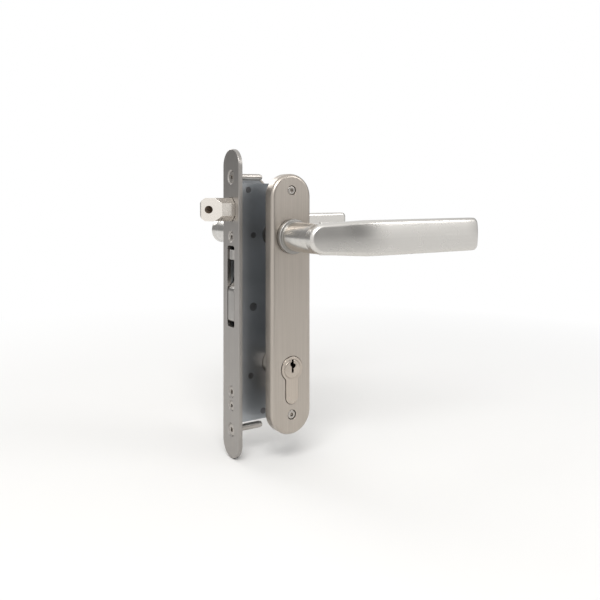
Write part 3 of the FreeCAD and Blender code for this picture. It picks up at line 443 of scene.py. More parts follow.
def surface(tree, tone, haze, relief, metallic=1.0):
    """Joins a finish. Its haze is a pattern, the pattern's two ends and the roughness at each of
    them. Its relief is a pattern, a strength and a depth in millimetres."""
    pattern, start, end, smooth, rough = haze
    roughness = add(
        tree, "ShaderNodeMapRange", {"From Min": start, "From Max": end, "To Min": smooth, "To Max": rough},
        {"Value": pattern},
    ).outputs["Result"]
    pattern, strength, depth = relief
    bump = add(tree, "ShaderNodeBump", {"Strength": strength, "Distance": depth * mm}, {"Height": pattern})
    shader = add(
        tree, "ShaderNodeBsdfPrincipled", {"Metallic": metallic},
        {"Base Color": tone, "Roughness": roughness, "Normal": bump.outputs["Normal"]},
    )
    add(tree, "ShaderNodeOutputMaterial", links={"Surface": shader.outputs["BSDF"]})


def brushed(name, colour, scale, rough, depth=0.004, streak=0.06):
    """Brushed metal. The scale is the noise's grains per metre, small along the brushing."""
    material, tree = new_finish(name)
    if not tree:
        return material
    place = add(tree, "ShaderNodeTexCoord").outputs["Object"]
    grain_place = add(tree, "ShaderNodeMapping", {"Scale": scale}, {"Vector": place}).outputs["Vector"]
    # Real scratches lie 0.05 to 0.2 mm apart. They are drawn 0.6 to 1.3 mm apart so that they show.
    grain = add(
        tree, "ShaderNodeTexNoise", {"Scale": 1.0, "Detail": 2.0, "Roughness": 0.5}, {"Vector": grain_place}
    ).outputs["Fac"]
    cloud = add(
        tree, "ShaderNodeTexNoise", {"Scale": 45.0, "Detail": 3.0, "Roughness": 0.5}, {"Vector": place}
    ).outputs["Fac"]
    tone = colour_ramp(
        tree, grain, ((0.30, shade(colour, 1 - streak)), (0.52, colour), (0.75, shade(colour, 1 + streak)))
    )
    surface(tree, tone, (cloud, 0.3, 0.7, rough - 0.04, rough + 0.05), (grain, 0.35, depth))
    return material


# Turns a lathe pattern's axis from Z to Y
lathe_turn = (math.pi / 2, 0, 0)


def turned_metal(name, colour, rough, height=0.0):
    """Metal turned on a lathe: rings about an axis along Y, at a height, some 0.12 mm apart."""
    material, tree = new_finish(name)
    if not tree:
        return material
    place = add(tree, "ShaderNodeTexCoord").outputs["Object"]
    about = add(
        tree,
        "ShaderNodeMapping",
        {"vector_type": "POINT", "Location": (0, height, 0), "Rotation": lathe_turn},
        {"Vector": place},
    ).outputs["Vector"]
    wave = add(
        tree,
        "ShaderNodeTexWave",
        {"wave_type": "RINGS", "rings_direction": "Z", "Scale": 2600.0, "Distortion": 0.6, "Detail": 2.0,
         "Detail Scale": 0.4},
        {"Vector": about},
    ).outputs["Fac"]
    cloud = add(
        tree, "ShaderNodeTexNoise", {"Scale": 160.0, "Detail": 3.0}, {"Vector": place}
    ).outputs["Fac"]
    tone = colour_ramp(tree, cloud, ((0.3, shade(colour, 0.93)), (0.7, shade(colour, 1.05))))
    surface(tree, tone, (wave, 0.0, 1.0, rough - 0.03, rough + 0.04), (wave, 0.25, 0.01))
    return material


def mottled(name, colour, grain, rough, depth, spread, metallic=1.0):
    """Plated, cast, sintered or moulded surfaces: a fine mottle, of so many grains per metre, and a
    broad cloud of 14 grains' width."""
    material, tree = new_finish(name)
    if not tree:
        return material
    place = add(tree, "ShaderNodeTexCoord").outputs["Object"]
    # Real grain is 0.05 to 0.3 mm wide. It is drawn 0.7 to 3.3 mm wide so that it shows.
    fine = add(
        tree, "ShaderNodeTexNoise", {"Scale": grain, "Detail": 4.0, "Roughness": 0.6}, {"Vector": place}
    ).outputs["Fac"]
    broad = add(
        tree, "ShaderNodeTexNoise", {"Scale": grain / 14, "Detail": 2.0}, {"Vector": place}
    ).outputs["Fac"]
    tone = colour_ramp(tree, broad, ((0.35, shade(colour, 1 - spread)), (0.65, shade(colour, 1 + spread))))
    surface(tree, tone, (fine, 0.3, 0.7, rough - 0.03, rough + 0.04), (fine, 0.4, depth), metallic)
    return material


def plate_steel():
    # Stainless sheet, belt-brushed along its length: upright streaks and a soft broad sheen
    return brushed("brushed stainless sheet", finish_colour("plate"), scale=(1500, 1500, 18), rough=0.34)


def forend_steel():
    # Stainless strip, ground along its length: darker, with a tighter sheen
    return brushed(
        "ground stainless strip", finish_colour("forend"), scale=(1700, 1700, 16), rough=0.36,
        depth=0.003, streak=0.05,
    )


def grip_steel():
    # Stainless casting, linished along the grip: level streaks and a bright sheen
    return brushed(
        "linished stainless lever", finish_colour("lever"), scale=(12, 12, 800), rough=0.27,
        depth=0.002, streak=0.02,
    )


def neck_steel():
    # The lever's neck is polished on the lathe: rings about the spindle's axis
    return turned_metal("turned stainless neck", finish_colour("lever"), rough=0.24)


def collar_painted_shade_steel():
    # The collar is the lever's steel darkened as painted shade, for the dark surroundings it reflects, and
    # is duller than the neck
    return turned_metal("turned stainless collar", shade(finish_colour("lever"), 0.52), rough=0.38)


def bolt_nickel():
    # Zinc casting, nickel plated in a barrel: bright and a little soft, with a faint ripple
    return mottled(
        "nickel plated latch", finish_colour("nickel"), grain=300, rough=0.26, depth=0.001, spread=0.02
    )


def hole_shade_zinc():
    # Painted shade: the walls of the latch's holes get a dark, dull zinc so that the holes read dark
    return mottled("thinly plated zinc", linear(0xA89A8C), grain=900, rough=0.6, depth=0.006, spread=0.08)


def hook_steel():
    # Hardened steel plate, blanked and tumbled: duller than the latch, with a fine grain
    return mottled(
        "tumbled hardened steel", finish_colour("hook"), grain=650, rough=0.36, depth=0.01, spread=0.06
    )


def cylinder_nickel():
    # Brass, satin nickel plated: warm and silky, brushed along the cylinder's height
    return brushed(
        "satin nickel on brass", finish_colour("cylinder"), scale=(1700, 1700, 25), rough=0.28,
        depth=0.003, streak=0.04,
    )


def plug_nickel():
    # The plug's face is turned before it is plated: rings about its own axis
    return turned_metal("turned nickel plug", finish_colour("cylinder"), rough=0.26, height=cylinder_z)


def screw_steel():
    # Stainless screws, cold headed and tumbled: bright, slightly rough
    return mottled(
        "tumbled stainless screw", finish_colour("screw"), grain=900, rough=0.30, depth=0.006, spread=0.06
    )


def case_zinc():
    # Pressed steel, zinc plated and clear passivated: cool grey, soft, faintly clouded
    return mottled(
        "zinc plated pressing", finish_colour("zinc_plate"), grain=500, rough=0.38, depth=0.01, spread=0.09
    )


def cast_zinc():
    # Zinc die casting left as cast: matt grey, with a fine flow texture
    return mottled(
        "zinc die casting", finish_colour("cast"), grain=700, rough=0.52, depth=0.03, spread=0.12
    )


def sintered_steel():
    # Pressed and sintered iron powder, oiled: dark and grainy
    return mottled("sintered iron", linear(0x6A6866), grain=1400, rough=0.5, depth=0.03, spread=0.12)


def stem_shade_steel():
    # Heat treated steel, darkened as painted shade: the stem stays dark down its hole
    return mottled("black oxide steel", linear(0x4E4843), grain=900, rough=0.4, depth=0.006, spread=0.08)


def spring_wire():
    # Cold drawn spring wire: dark bright grey
    return mottled("drawn spring wire", linear(0x8B8B8D), grain=1100, rough=0.3, depth=0.006, spread=0.06)


def turned_brass():
    # Free-cutting brass pins: yellow, bright
    return mottled("turned brass", linear(0xC9A758), grain=900, rough=0.25, depth=0.005, spread=0.05)


def black_acetal():
    # Moulded acetal: black, slightly waxy
    return mottled(
        "moulded acetal", linear(0x1C1C1E), grain=1200, rough=0.42, depth=0.01, spread=0.1, metallic=0.0
    )


# The forend and its screws

latch_gap = 0.3 * mm             # round the latch bolt in the forend
hook_pivot = Vector((-16.0 * mm, 0, -51.0 * mm))
slot_half = 5.3 * mm             # half the width of the hook's slot
slot_above = 2.9 * mm            # over the hook's top
slot_below = 14.2 * mm           # under the hook's pivot
slot_corner = 2.0 * mm
sink_gap = 0.15 * mm             # round the screws in their countersinks
m5_shank = 2.5 * mm
m4_shank = 2.0 * mm
m4_pitch = 0.7 * mm
socket_width = 1.2               # of the shank's radius
socket_depth = 2.3 * mm
thread_start = 1.4 * mm          # behind the head
thread_root = 0.84               # of the shank's radius, under the thread
thread_end = 0.6                 # of the shank's radius, at the screw's tip


def latch_outline(x, grow):
    """The latch bolt's eight-sided section at x."""
    lo, hi = boxes["latch_bolt"]
    cut = settings("bolts").latch_chamfer
    y0, y1 = lo.y - grow, hi.y + grow
    z0, z1 = lo.z - grow, hi.z + grow
    return [
        (x, y0, z0 + cut), (x, y0, z1 - cut), (x, y0 + cut, z1), (x, y1 - cut, z1),
        (x, y1, z1 - cut), (x, y1, z0 + cut), (x, y1 - cut, z0), (x, y0 + cut, z0),
    ]


def screw_heads():
    """Each screw through the forend: height, head radius, shank radius, node."""
    sizes = settings("forend")
    fixing, case, cylinder = (boxes[node] for node in ("fixing_screws", "case_screws", "cylinder_screw"))
    return [
        (fixing[1].z - sizes.fixing_head, sizes.fixing_head, m5_shank, "fixing_screws"),
        (fixing[0].z + sizes.fixing_head, sizes.fixing_head, m5_shank, "fixing_screws"),
        (case[1].z - sizes.case_head, sizes.case_head, m4_shank, "case_screws"),
        (case[0].z + sizes.case_head, sizes.case_head, m4_shank, "case_screws"),
        ((cylinder[0].z + cylinder[1].z) / 2, sizes.cylinder_head, m5_shank, "cylinder_screw"),
    ]


class GATELOCK_OT_forend(bpy.types.Operator):
    """The forend: a round-ended strip with its bevel, its bolt openings and its countersinks"""

    bl_idname = "gatelock.forend"
    bl_label = "Forend"

    def execute(self, context):
        lo, hi = boxes["forend"]
        thickness = hi.x - lo.x
        bm = bmesh.new()
        face = round_strip(bm, (hi.y - lo.y) / 2, lo.z, hi.z, from_forend)
        pull(bm, face, X * thickness)
        front = [e for e in bm.edges if all(abs(v.co.x) < hair for v in e.verts)]
        round_edges(bm, front, settings("forend").bevel, steps=3)
        bmesh.ops.translate(bm, verts=bm.verts, vec=X * lo.x)
        bmesh.ops.recalc_face_normals(bm, faces=bm.faces)
        piece = new_object("forend_strip", bm)
        cutters = bmesh.new()
        x = lo.x - past
        through = X * (thickness + 2 * past)
        top = high("hook_bolt").z + slot_above
        foot = hook_pivot.z - slot_below
        slot = [(x, -slot_half, foot), (x, slot_half, foot), (x, slot_half, top), (x, -slot_half, top)]
        flat_face(cutters, slot)
        round_corners(cutters, cutters.verts[:], slot_corner)
        pull(cutters, cutters.faces[:][0], through)
        pull(cutters, flat_face(cutters, latch_outline(x, latch_gap)), through)
        for z, head, shank, _ in screw_heads():
            start = Vector((lo.x, 0, z))
            sunk = start + X * (head - shank)
            rod(cutters, head + past + sink_gap, start - X * past, sunk, end_radius=shank + sink_gap)
            rod(cutters, shank + sink_gap, sunk - X * 0.01 * mm, start + X * (thickness + past))
        carve(piece, cutters)
        soften(piece, width=0.12 * mm, steps=2)
        dress(piece, forend_steel(), "lock", "forend_steel", "forend")
        return {"FINISHED"}


class GATELOCK_OT_forend_screws(bpy.types.Operator):
    """The countersunk screws in the forend, with their hexagon sockets and threads"""

    bl_idname = "gatelock.forend_screws"
    bl_label = "Forend Screws"

    def execute(self, context):
        sizes = settings("forend")
        drop = sizes.head_drop
        by_node = {}
        for z, head, shank, node in screw_heads():
            by_node.setdefault(node, []).append((Vector((forend_front, 0, z)), head, shank))
        for node, screws in by_node.items():
            lo, hi = boxes[node]
            bm = bmesh.new()
            cutters = bmesh.new()
            threads = []
            for start, head, shank in screws:
                sink = head - shank
                rim = head - drop
                root = shank * thread_root
                end = hi.x - lo.x
                profile = [
                    (0, drop), (rim - 0.5 * mm, drop), (rim - 0.2 * mm, drop + 0.06 * mm),
                    (rim - 0.1 * mm, drop + 0.2 * mm), (shank, sink), (shank * 0.98, sink + 1.2 * mm),
                    (root, sink + 1.6 * mm), (root, end - 0.6 * mm), (shank * thread_end, end), (0, end),
                ]
                turned(bm, profile, X, start)
                hexagon(cutters, socket_width * shank, start - X * past, start + X * socket_depth)
                pitch = sizes.thread_pitch if shank > m4_shank else m4_pitch
                begin = start + X * (sink + thread_start)
                turns = int((hi.x - begin.x - 0.5 * mm) / pitch) - 1
                threads.append((shank, pitch, turns, X, begin))
            piece = new_object(node + "_turned", bm)
            carve(piece, cutters)
            add_threads(piece, threads)
            soften(piece, width=0.05 * mm, steps=1, limit=50)
            dress(piece, screw_steel(), "lock", "screw_steel", node)
        return {"FINISHED"}


# The bolts

hook_throat = 9.5 * mm           # the hook's face to the front of its shank
hook_shank = 11.5 * mm           # the shank's depth
nose_height = 7.1 * mm
ramp_foot = 12.5 * mm            # over the pivot
ramp_rise = 7.5 * mm
ramp_short = 3.0 * mm            # from the ramp's top to the shank's front
ramp_end = 12.0 * mm             # over the ramp's foot, where the shank begins
pivot_hole = 3.05 * mm


class GATELOCK_OT_latch(bpy.types.Operator):
    """The latch bolt's head, with its 45 degree bevel and the hole for the adjusting key"""

    bl_idname = "gatelock.latch"
    bl_label = "Latch Bolt"

    def execute(self, context):
        lo, hi = boxes["latch_bolt"]
        sizes = settings("bolts")
        middle = (lo.z + hi.z) / 2
        bm = bmesh.new()
        head = flat_face(bm, latch_outline(lo.x, 0.0))
        pull(bm, head, X * (hi.x - lo.x))
        edge = Vector((lo.x, hi.y - sizes.latch_blunt, middle))
        bevel = bmesh.ops.bisect_plane(
            bm,
            geom=bm.verts[:] + bm.edges[:] + bm.faces[:],
            plane_co=edge,
            plane_no=(-1, -1, 0),
            clear_outer=True,
        )["geom_cut"]
        bmesh.ops.holes_fill(bm, edges=[e for e in bevel if isinstance(e, bmesh.types.BMEdge)], sides=0)
        bmesh.ops.recalc_face_normals(bm, faces=bm.faces)
        piece = new_object("latch_head", bm)
        # The mouth is drilled between square to the bevel and along the stem
        mouth = Vector((edge.x + edge.y - sizes.hole_side, sizes.hole_side, middle))
        inward = Vector((2.4, 1, 0)).normalized()
        for start, end, radius in (
            (mouth - inward * 3.0 * mm, mouth + inward * 9.0 * mm, sizes.latch_hole),
            (Vector((mouth.x + 4.0 * mm, 0, middle)), Vector((hi.x + past, 0, middle)), sizes.key_hole),
        ):
            cutters = bmesh.new()
            rod(cutters, radius, start, end)
            carve(piece, cutters)
            axis = (end - start).normalized()
            # The walls of each hole take the second finish, the painted shade
            for polygon in piece.data.polygons:
                away = polygon.center - start
                away -= axis * away.dot(axis)
                if away.length < radius * 1.01 and abs(polygon.normal.dot(axis)) < 0.1:
                    polygon.material_index = 1
        soften(piece, width=0.45 * mm, steps=4, limit=30)
        dress(piece, [bolt_nickel(), hole_shade_zinc()], "latch", "bolt_nickel", "latch_bolt")
        return {"FINISHED"}


class GATELOCK_OT_hook(bpy.types.Operator):
    """The hook bolt: a foot that is round behind and flat in front, a shank and a chamfered nose"""

    bl_idname = "gatelock.hook"
    bl_label = "Hook Bolt"

    def execute(self, context):
        lo, hi = boxes["hook_bolt"]
        sizes = settings("bolts")
        pivot = Vector((hook_pivot.x, lo.y, hook_pivot.z))
        lobe = pivot.x - lo.x
        shank_front = lo.x + hook_throat
        shank_back = shank_front + hook_shank
        under = hi.z - nose_height
        ramp = pivot.z + ramp_foot
        foot_angle = math.acos((shank_back - pivot.x) / lobe)
        bm = bmesh.new()
        arc_start = bm.verts.new((shank_back, lo.y, pivot.z + lobe * math.sin(foot_angle)))
        bmesh.ops.spin(
            bm, geom=[arc_start], cent=pivot, axis=Y, steps=40,
            angle=math.pi + foot_angle - math.asin(sizes.hook_toe / lobe),
        )
        bm.verts.ensure_lookup_table()
        arc_end = bm.verts[-1]
        # Each corner's x and z, and the radius that rounds it in millimetres
        corners = [
            (lo.x, pivot.z - sizes.hook_toe, 1.5), (lo.x, ramp, 1.5),
            (shank_front - ramp_short, ramp + ramp_rise, 2.0), (shank_front, ramp + ramp_end, 3.0),
            (shank_front, under, 2.0), (lo.x, under, 0.8), (lo.x, hi.z, 0.8), (shank_back, hi.z, 2.5),
        ]
        points = [bm.verts.new((x, lo.y, z)) for x, z, radius in corners]
        for pair in zip([arc_end] + points, points + [arc_start]):
            bm.edges.new(pair)
        bmesh.ops.contextual_create(bm, geom=bm.edges[:])
        for point, (x, z, radius) in zip(points, corners):
            round_corners(bm, [point], radius * mm, steps=5)
        pull(bm, bm.faces[:][0], Y * (hi.y - lo.y))
        bmesh.ops.recalc_face_normals(bm, faces=bm.faces)
        piece = new_object("hook", bm)
        cutters = bmesh.new()
        chamfer = sizes.nose_chamfer
        for side in (-1, 1):
            wedge = [
                (lo.x - past, side * (hi.y + past), under - past),
                (lo.x + chamfer + past, side * (hi.y + past), under - past),
                (lo.x - past, side * (hi.y - chamfer - past), under - past),
            ]
            pull(cutters, flat_face(cutters, wedge), Z * (nose_height + 2 * past))
        rod(cutters, pivot_hole, hook_pivot + Y * (lo.y - past), hook_pivot + Y * (hi.y + past))
        carve(piece, cutters)
        soften(piece, width=0.4 * mm, steps=3, limit=30)
        dress(piece, hook_steel(), "hook", "bolt_nickel", "hook_bolt")
        return {"FINISHED"}


# The backplates and their bolts

collar_opening = 11.6 * mm       # radius of the hole that the lever's neck comes through
bolt_head_gap = 0.3 * mm
bolt_head_height = 3.0 * mm
bolt_plain = 12.0 * mm           # the head's face to the start of the thread
bolt_turns = 28
bolt_socket = 2.5 * mm           # across its flats
bolt_socket_depth = 2.0 * mm


def euro_outline(bm, y, grow):
    """The cylinder's outline at y: a barrel above a leg with a round foot."""
    sizes = settings("cylinder")
    radius = sizes.barrel + grow
    half = sizes.leg + grow
    shoulder = math.asin(half / radius)
    start = bm.verts.new((half, y, cylinder_z - radius * math.cos(shoulder)))
    bmesh.ops.spin(
        bm, geom=[start], cent=(0, y, cylinder_z), axis=-Y, angle=2 * (math.pi - shoulder), steps=64
    )
    bm.verts.ensure_lookup_table()
    barrel_end = bm.verts[-1]
    foot_z = cylinder_z - sizes.drop - grow + half
    foot = bm.verts.new((-half, y, foot_z))
    bmesh.ops.spin(bm, geom=[foot], cent=(0, y, foot_z), axis=-Y, angle=math.pi, steps=24)
    bm.verts.ensure_lookup_table()
    foot_end = bm.verts[-1]
    todo = [bm.edges.new((barrel_end, foot)), bm.edges.new((foot_end, start))]
    # A dict, as in settle, so that the edges keep their order
    chain = dict.fromkeys(todo)
    while todo:
        for vert in todo.pop().verts:
            for edge in vert.link_edges:
                if edge not in chain:
                    chain[edge] = None
                    todo.append(edge)
    return bmesh.ops.contextual_create(bm, geom=list(chain))["faces"][0]


class GATELOCK_OT_backplates(bpy.types.Operator):
    """The two backplates: drawn covers with rounded rims and the cut-outs in their faces"""

    bl_idname = "gatelock.backplates"
    bl_label = "Backplates"

    def execute(self, context):
        sizes = settings("plates")
        lo, hi = boxes["front_backplate"]
        depth = plate_face - plate_back
        bolt_heights = (high("through_bolts").z - sizes.bolt_head, low("through_bolts").z + sizes.bolt_head)
        for side, name in ((-1, "front_backplate"), (1, "rear_backplate")):
            bm = bmesh.new()
            face = round_strip(bm, hi.x, lo.z, hi.z, from_front)
            pull(bm, face, Y * depth)
            rim = [e for e in bm.edges if all(abs(v.co.y) < hair for v in e.verts)]
            round_edges(bm, rim, sizes.rim, steps=6)
            back = [f for f in bm.faces if all(abs(v.co.y - depth) < hair for v in f.verts)]
            bmesh.ops.delete(bm, geom=back, context="FACES_ONLY")
            bmesh.ops.recalc_face_normals(bm, faces=bm.faces)
            bmesh.ops.solidify(bm, geom=bm.faces[:], thickness=sizes.wall)
            bmesh.ops.recalc_face_normals(bm, faces=bm.faces)
            bmesh.ops.translate(bm, verts=bm.verts, vec=Y * -plate_face)
            if side > 0:
                to_rear(bm)
            piece = new_object(name.replace("backplate", "cover"), bm)
            cutters = bmesh.new()
            outer = Y * side * (plate_face + past)
            inner = Y * side * plate_back
            rod(cutters, collar_opening, inner, outer, steps=72)
            opening = euro_outline(cutters, inner.y, sizes.cutout_gap)
            pull(cutters, opening, outer - inner)
            if side < 0:
                for z in bolt_heights:
                    rod(cutters, sizes.bolt_head + bolt_head_gap, Z * z + inner, Z * z + outer)
            carve(piece, cutters)
            soften(piece, width=0.2 * mm, steps=3, limit=40)
            dress(piece, plate_steel(), "lock", "plate_steel", name)
        return {"FINISHED"}


class GATELOCK_OT_through_bolts(bpy.types.Operator):
    """The through-bolts with their socket heads, and the threads on their shanks"""

    bl_idname = "gatelock.through_bolts"
    bl_label = "Through-Bolts"

    def execute(self, context):
        lo, hi = boxes["through_bolts"]
        head = settings("plates").bolt_head
        root = m4_shank * thread_root
        end = hi.y - lo.y
        profile = [
            (0, 0), (head - 0.55 * mm, 0), (head - 0.2 * mm, 0.12 * mm), (head, 0.5 * mm),
            (head, bolt_head_height), (m4_shank, bolt_head_height), (m4_shank, bolt_plain),
            (root, bolt_plain + 0.4 * mm), (root, end - 0.5 * mm), (m4_shank * thread_end, end), (0, end),
        ]
        bm = bmesh.new()
        cutters = bmesh.new()
        threads = []
        for z in (hi.z - head, lo.z + head):
            start = Vector((0, lo.y, z))
            turned(bm, profile, Y, start)
            hexagon(cutters, bolt_socket, start - Y * past, start + Y * bolt_socket_depth)
            threads.append((m4_shank, m4_pitch, bolt_turns, Y, start + Y * (bolt_plain + 0.2 * mm), 16))
        piece = new_object("through_bolts_turned", bm)
        carve(piece, cutters)
        add_threads(piece, threads)
        soften(piece, width=0.08 * mm, steps=2, limit=50)
        dress(piece, screw_steel(), "lock", "screw_steel", "through_bolts")
        return {"FINISHED"}


# The lever handles

bend_x = 34.0 * mm               # where the outer face turns from its slope to its long stretch
bend_radius = 130.0 * mm
thin_start = 20.0 * mm           # from here to thin_end the grip thins along Y, as its slope ends
thin_end = 48.0 * mm
tip_run = 16.0 * mm              # length over which the tip falls back
fine_step = 2.0 * mm             # between the grip's cross cuts, up to fine_end and over the tip
fine_end = 52.0 * mm
fine_tip = 20.0 * mm
wide_step = 8.0 * mm             # between the other cross cuts
neck_short = 6.0 * mm            # the neck is turned this much shorter than the elbow
stub = 9.0 * mm                  # radius of the lever's stub inside the plate
fillet_spread = 86               # degrees that the fillet runs to either side of the grip
fillet_inset = 1.2 * mm          # the fillet stays this far inside the grip's long edges
fillet_least = 0.08              # share of its size that the fillet keeps at its sides
steepest = 0.45                  # the sine past which the grip's long edges are not followed


def outer_face(x):
    """Distance from the plate's face to the lever's outer face, at x along the grip."""
    sizes = settings("levers")
    rise = math.tan(sizes.slope)
    start = sizes.elbow + sizes.neck * rise
    corner = start + bend_x * rise
    far = math.atan2(sizes.tip - corner, high("front_lever").x - bend_x)
    tangent = bend_radius * math.tan((sizes.slope - far) / 2)
    first = bend_x - tangent * math.cos(sizes.slope)
    last = bend_x + tangent * math.cos(far)
    if x < first:
        return start + x * rise
    if x > last:
        return corner + (x - bend_x) * math.tan(far)
    centre_x = first + bend_radius * math.sin(sizes.slope)
    centre = start + first * rise - bend_radius * math.cos(sizes.slope)
    return centre + math.sqrt(bend_radius ** 2 - (x - centre_x) ** 2)


def lever_grip(bm):
    """The grip, made flat in the plane of its outer face, with its edges rounded."""
    sizes = settings("levers")
    half = sizes.grip_height / 2
    reach = high("front_lever").x
    touch = math.atan2(half, sizes.flare) + math.acos(sizes.neck / math.hypot(sizes.flare, half))
    top = bm.verts.new((sizes.neck * math.cos(touch), 0, sizes.neck * math.sin(touch)))
    bmesh.ops.spin(
        bm, geom=[top], cent=(0, 0, 0), axis=-Y, angle=2 * (math.pi - touch), steps=56
    )
    bm.verts.ensure_lookup_table()
    bottom = bm.verts[-1]
    corners = [
        bm.verts.new((x, 0, z))
        for x, z in ((sizes.flare, -half), (reach, -half), (reach, half), (sizes.flare, half))
    ]
    for pair in zip([bottom] + corners, corners + [top]):
        bm.edges.new(pair)
    bmesh.ops.contextual_create(bm, geom=bm.edges[:])
    round_corners(bm, corners[1:3], sizes.tip_corner, steps=8)
    thickness = sizes.grip_thickness / math.cos(sizes.slope)
    pull(bm, bm.faces[:][0], Y * thickness)
    bmesh.ops.recalc_face_normals(bm, faces=bm.faces)
    round_edges(bm, level_edges(bm), sizes.grip_round, steps=7)
    cuts = []
    x = fine_step
    while x < reach - 3.0 * mm:
        cuts.append((X * x, X))
        x += fine_step if x < fine_end or x > reach - fine_tip else wide_step
    cuts += [(Z * half * n / 6, Z) for n in range(-4, 5)]
    for place, direction in cuts:
        bmesh.ops.bisect_plane(
            bm, geom=bm.verts[:] + bm.edges[:] + bm.faces[:], dist=weld, plane_co=place, plane_no=direction
        )
    for vert in bm.verts:
        x, y, z = vert.co
        bent = min(1.0, max(0.0, (x - thin_start) / (thin_end - thin_start)))
        outward = max(0.0, 1 - y / thickness)
        tip = max(0.0, (x - reach) / tip_run + 1)
        crown = outward * (sizes.grip_crown * (z / half) ** 2 + sizes.tip_crown * tip ** 2)
        vert.co.y = y * (1 - (1 - math.cos(sizes.slope)) * bent) - outer_face(x) + crown


def lever_elbow(bm):
    """The fillet inside the elbow: a hollow profile spun round the neck, that dies out at its sides."""
    sizes = settings("levers")
    half = sizes.grip_height / 2
    radius = sizes.fillet
    base = sizes.neck - 0.05 * mm
    inside = 2.0 * mm
    behind = 1.5 * mm
    profile = [(-inside, radius)]
    for n in range(13):
        a = math.radians(90 * n / 12)
        profile.append((radius - radius * math.cos(a), radius - radius * math.sin(a)))
    profile += [(radius, -behind), (-inside, -behind)]
    verts = [bm.verts.new((base + r, 0, h)) for r, h in profile]
    edges = [bm.edges.new(pair) for pair in zip(verts, verts[1:] + verts[:1])]
    face = bmesh.ops.contextual_create(bm, geom=edges)["faces"][0]
    spread = math.radians(fillet_spread)
    bmesh.ops.rotate(bm, verts=verts, cent=(0, 0, 0), matrix=Matrix.Rotation(-spread, 3, "Z"))
    bmesh.ops.spin(bm, geom=[face], cent=(0, 0, 0), axis=Z, angle=2 * spread, steps=48, use_duplicate=False)
    inner = sizes.grip_thickness / math.cos(sizes.slope)
    for vert in bm.verts:
        x, z, down = vert.co
        around = math.atan2(z, x)
        room = half / max(abs(math.sin(around)), steepest) - sizes.neck - fillet_inset
        keep = min(1.0, max(fillet_least, room / radius))
        out = math.hypot(x, z) - base
        out = base + (out * keep if out > 0 else out)
        x = out * math.cos(around)
        down = down * keep if down > 0 else down
        # Local z was measured down from the grip's inner face
        vert.co = Vector((x, inner + down - outer_face(x), out * math.sin(around)))
    bmesh.ops.recalc_face_normals(bm, faces=bm.faces)


def lever_neck(bm):
    """The collar and the neck, turned in one, ending inside the grip."""
    sizes = settings("levers")
    gap = 0.3 * mm
    top = sizes.collar_height + gap
    back = plate_back - plate_face
    collar = sizes.collar
    neck = sizes.neck - 0.03 * mm
    end = sizes.elbow - neck_short
    profile = [
        (0, back + 0.4 * mm), (stub - 0.4 * mm, back + 0.4 * mm), (stub, back + 0.6 * mm), (stub, gap),
        (collar - 0.2 * mm, gap), (collar, gap + 0.2 * mm), (collar, top - 0.9 * mm),
        (collar - 0.12 * mm, top - 0.5 * mm), (collar - 0.4 * mm, top - 0.15 * mm), (collar - 0.8 * mm, top),
        (neck + 0.25 * mm, top), (neck + 0.06 * mm, top + 0.08 * mm), (neck, top + 0.3 * mm), (neck, end),
        (0, end),
    ]
    turned(bm, profile, -Y, Vector(), steps=96)
    # The neck's end follows the outer face, half the grip's thickness behind it
    for vert in bm.verts:
        if vert.co.y < mm - end:
            vert.co.y = sizes.grip_thickness / 2 - outer_face(vert.co.x)


class GATELOCK_OT_levers(bpy.types.Operator):
    """The two lever handles: a collar and a neck, a flared grip, and the fillet inside the elbow"""

    bl_idname = "gatelock.levers"
    bl_label = "Lever Handles"

    def execute(self, context):
        collar_top = settings("levers").collar_height + 0.35 * mm
        for side, name in ((-1, "front_lever"), (1, "rear_lever")):
            bm = bmesh.new()
            lever_grip(bm)
            for part in (lever_elbow, lever_neck):
                shell = bmesh.new()
                part(shell)
                mesh = bpy.data.meshes.new("shell")
                shell.to_mesh(mesh)
                shell.free()
                faces_before = len(bm.faces)
                bm.from_mesh(mesh)
                bpy.data.meshes.remove(mesh)
            # The neck came last, and its faces up to the collar's top are the collar's, with its painted
            # shade
            bm.faces.ensure_lookup_table()
            for face in bm.faces[faces_before:]:
                face.material_index = 2 if face.calc_center_median().y > -collar_top else 1
            bmesh.ops.translate(bm, verts=bm.verts, vec=Y * -plate_face)
            if side > 0:
                to_rear(bm)
            piece = new_object(name + "_shaped", bm)
            soften(piece, width=0.0)
            dress(piece, [grip_steel(), neck_steel(), collar_painted_shade_steel()], "handle", "lever_steel", name)
        return {"FINISHED"}


# The cylinder

end_round = 0.35 * mm            # round the ends of the body
bore_gap = 0.08 * mm             # round the plugs in the body
cam_gap = 5.0 * mm               # half the gap that the cam turns in
web_top = 16.3 * mm              # the cylinder's axis to the web under the cam
screw_drop = 19.5 * mm           # the cylinder's axis to its screw
plug_end = 4.8 * mm              # the lock's middle to the plug's shoulder
clip_neck = 5.6 * mm             # radius under the plug's clip
cam_peg = 4.0 * mm               # radius of the peg that carries the cam
keyway_end = 7.7 * mm            # the lock's middle to the keyway's end
keyway_top = 7.0 * mm            # over the plug's axis
keyway_foot = 2.6 * mm           # under it
keyway_jog = 1.6 * mm


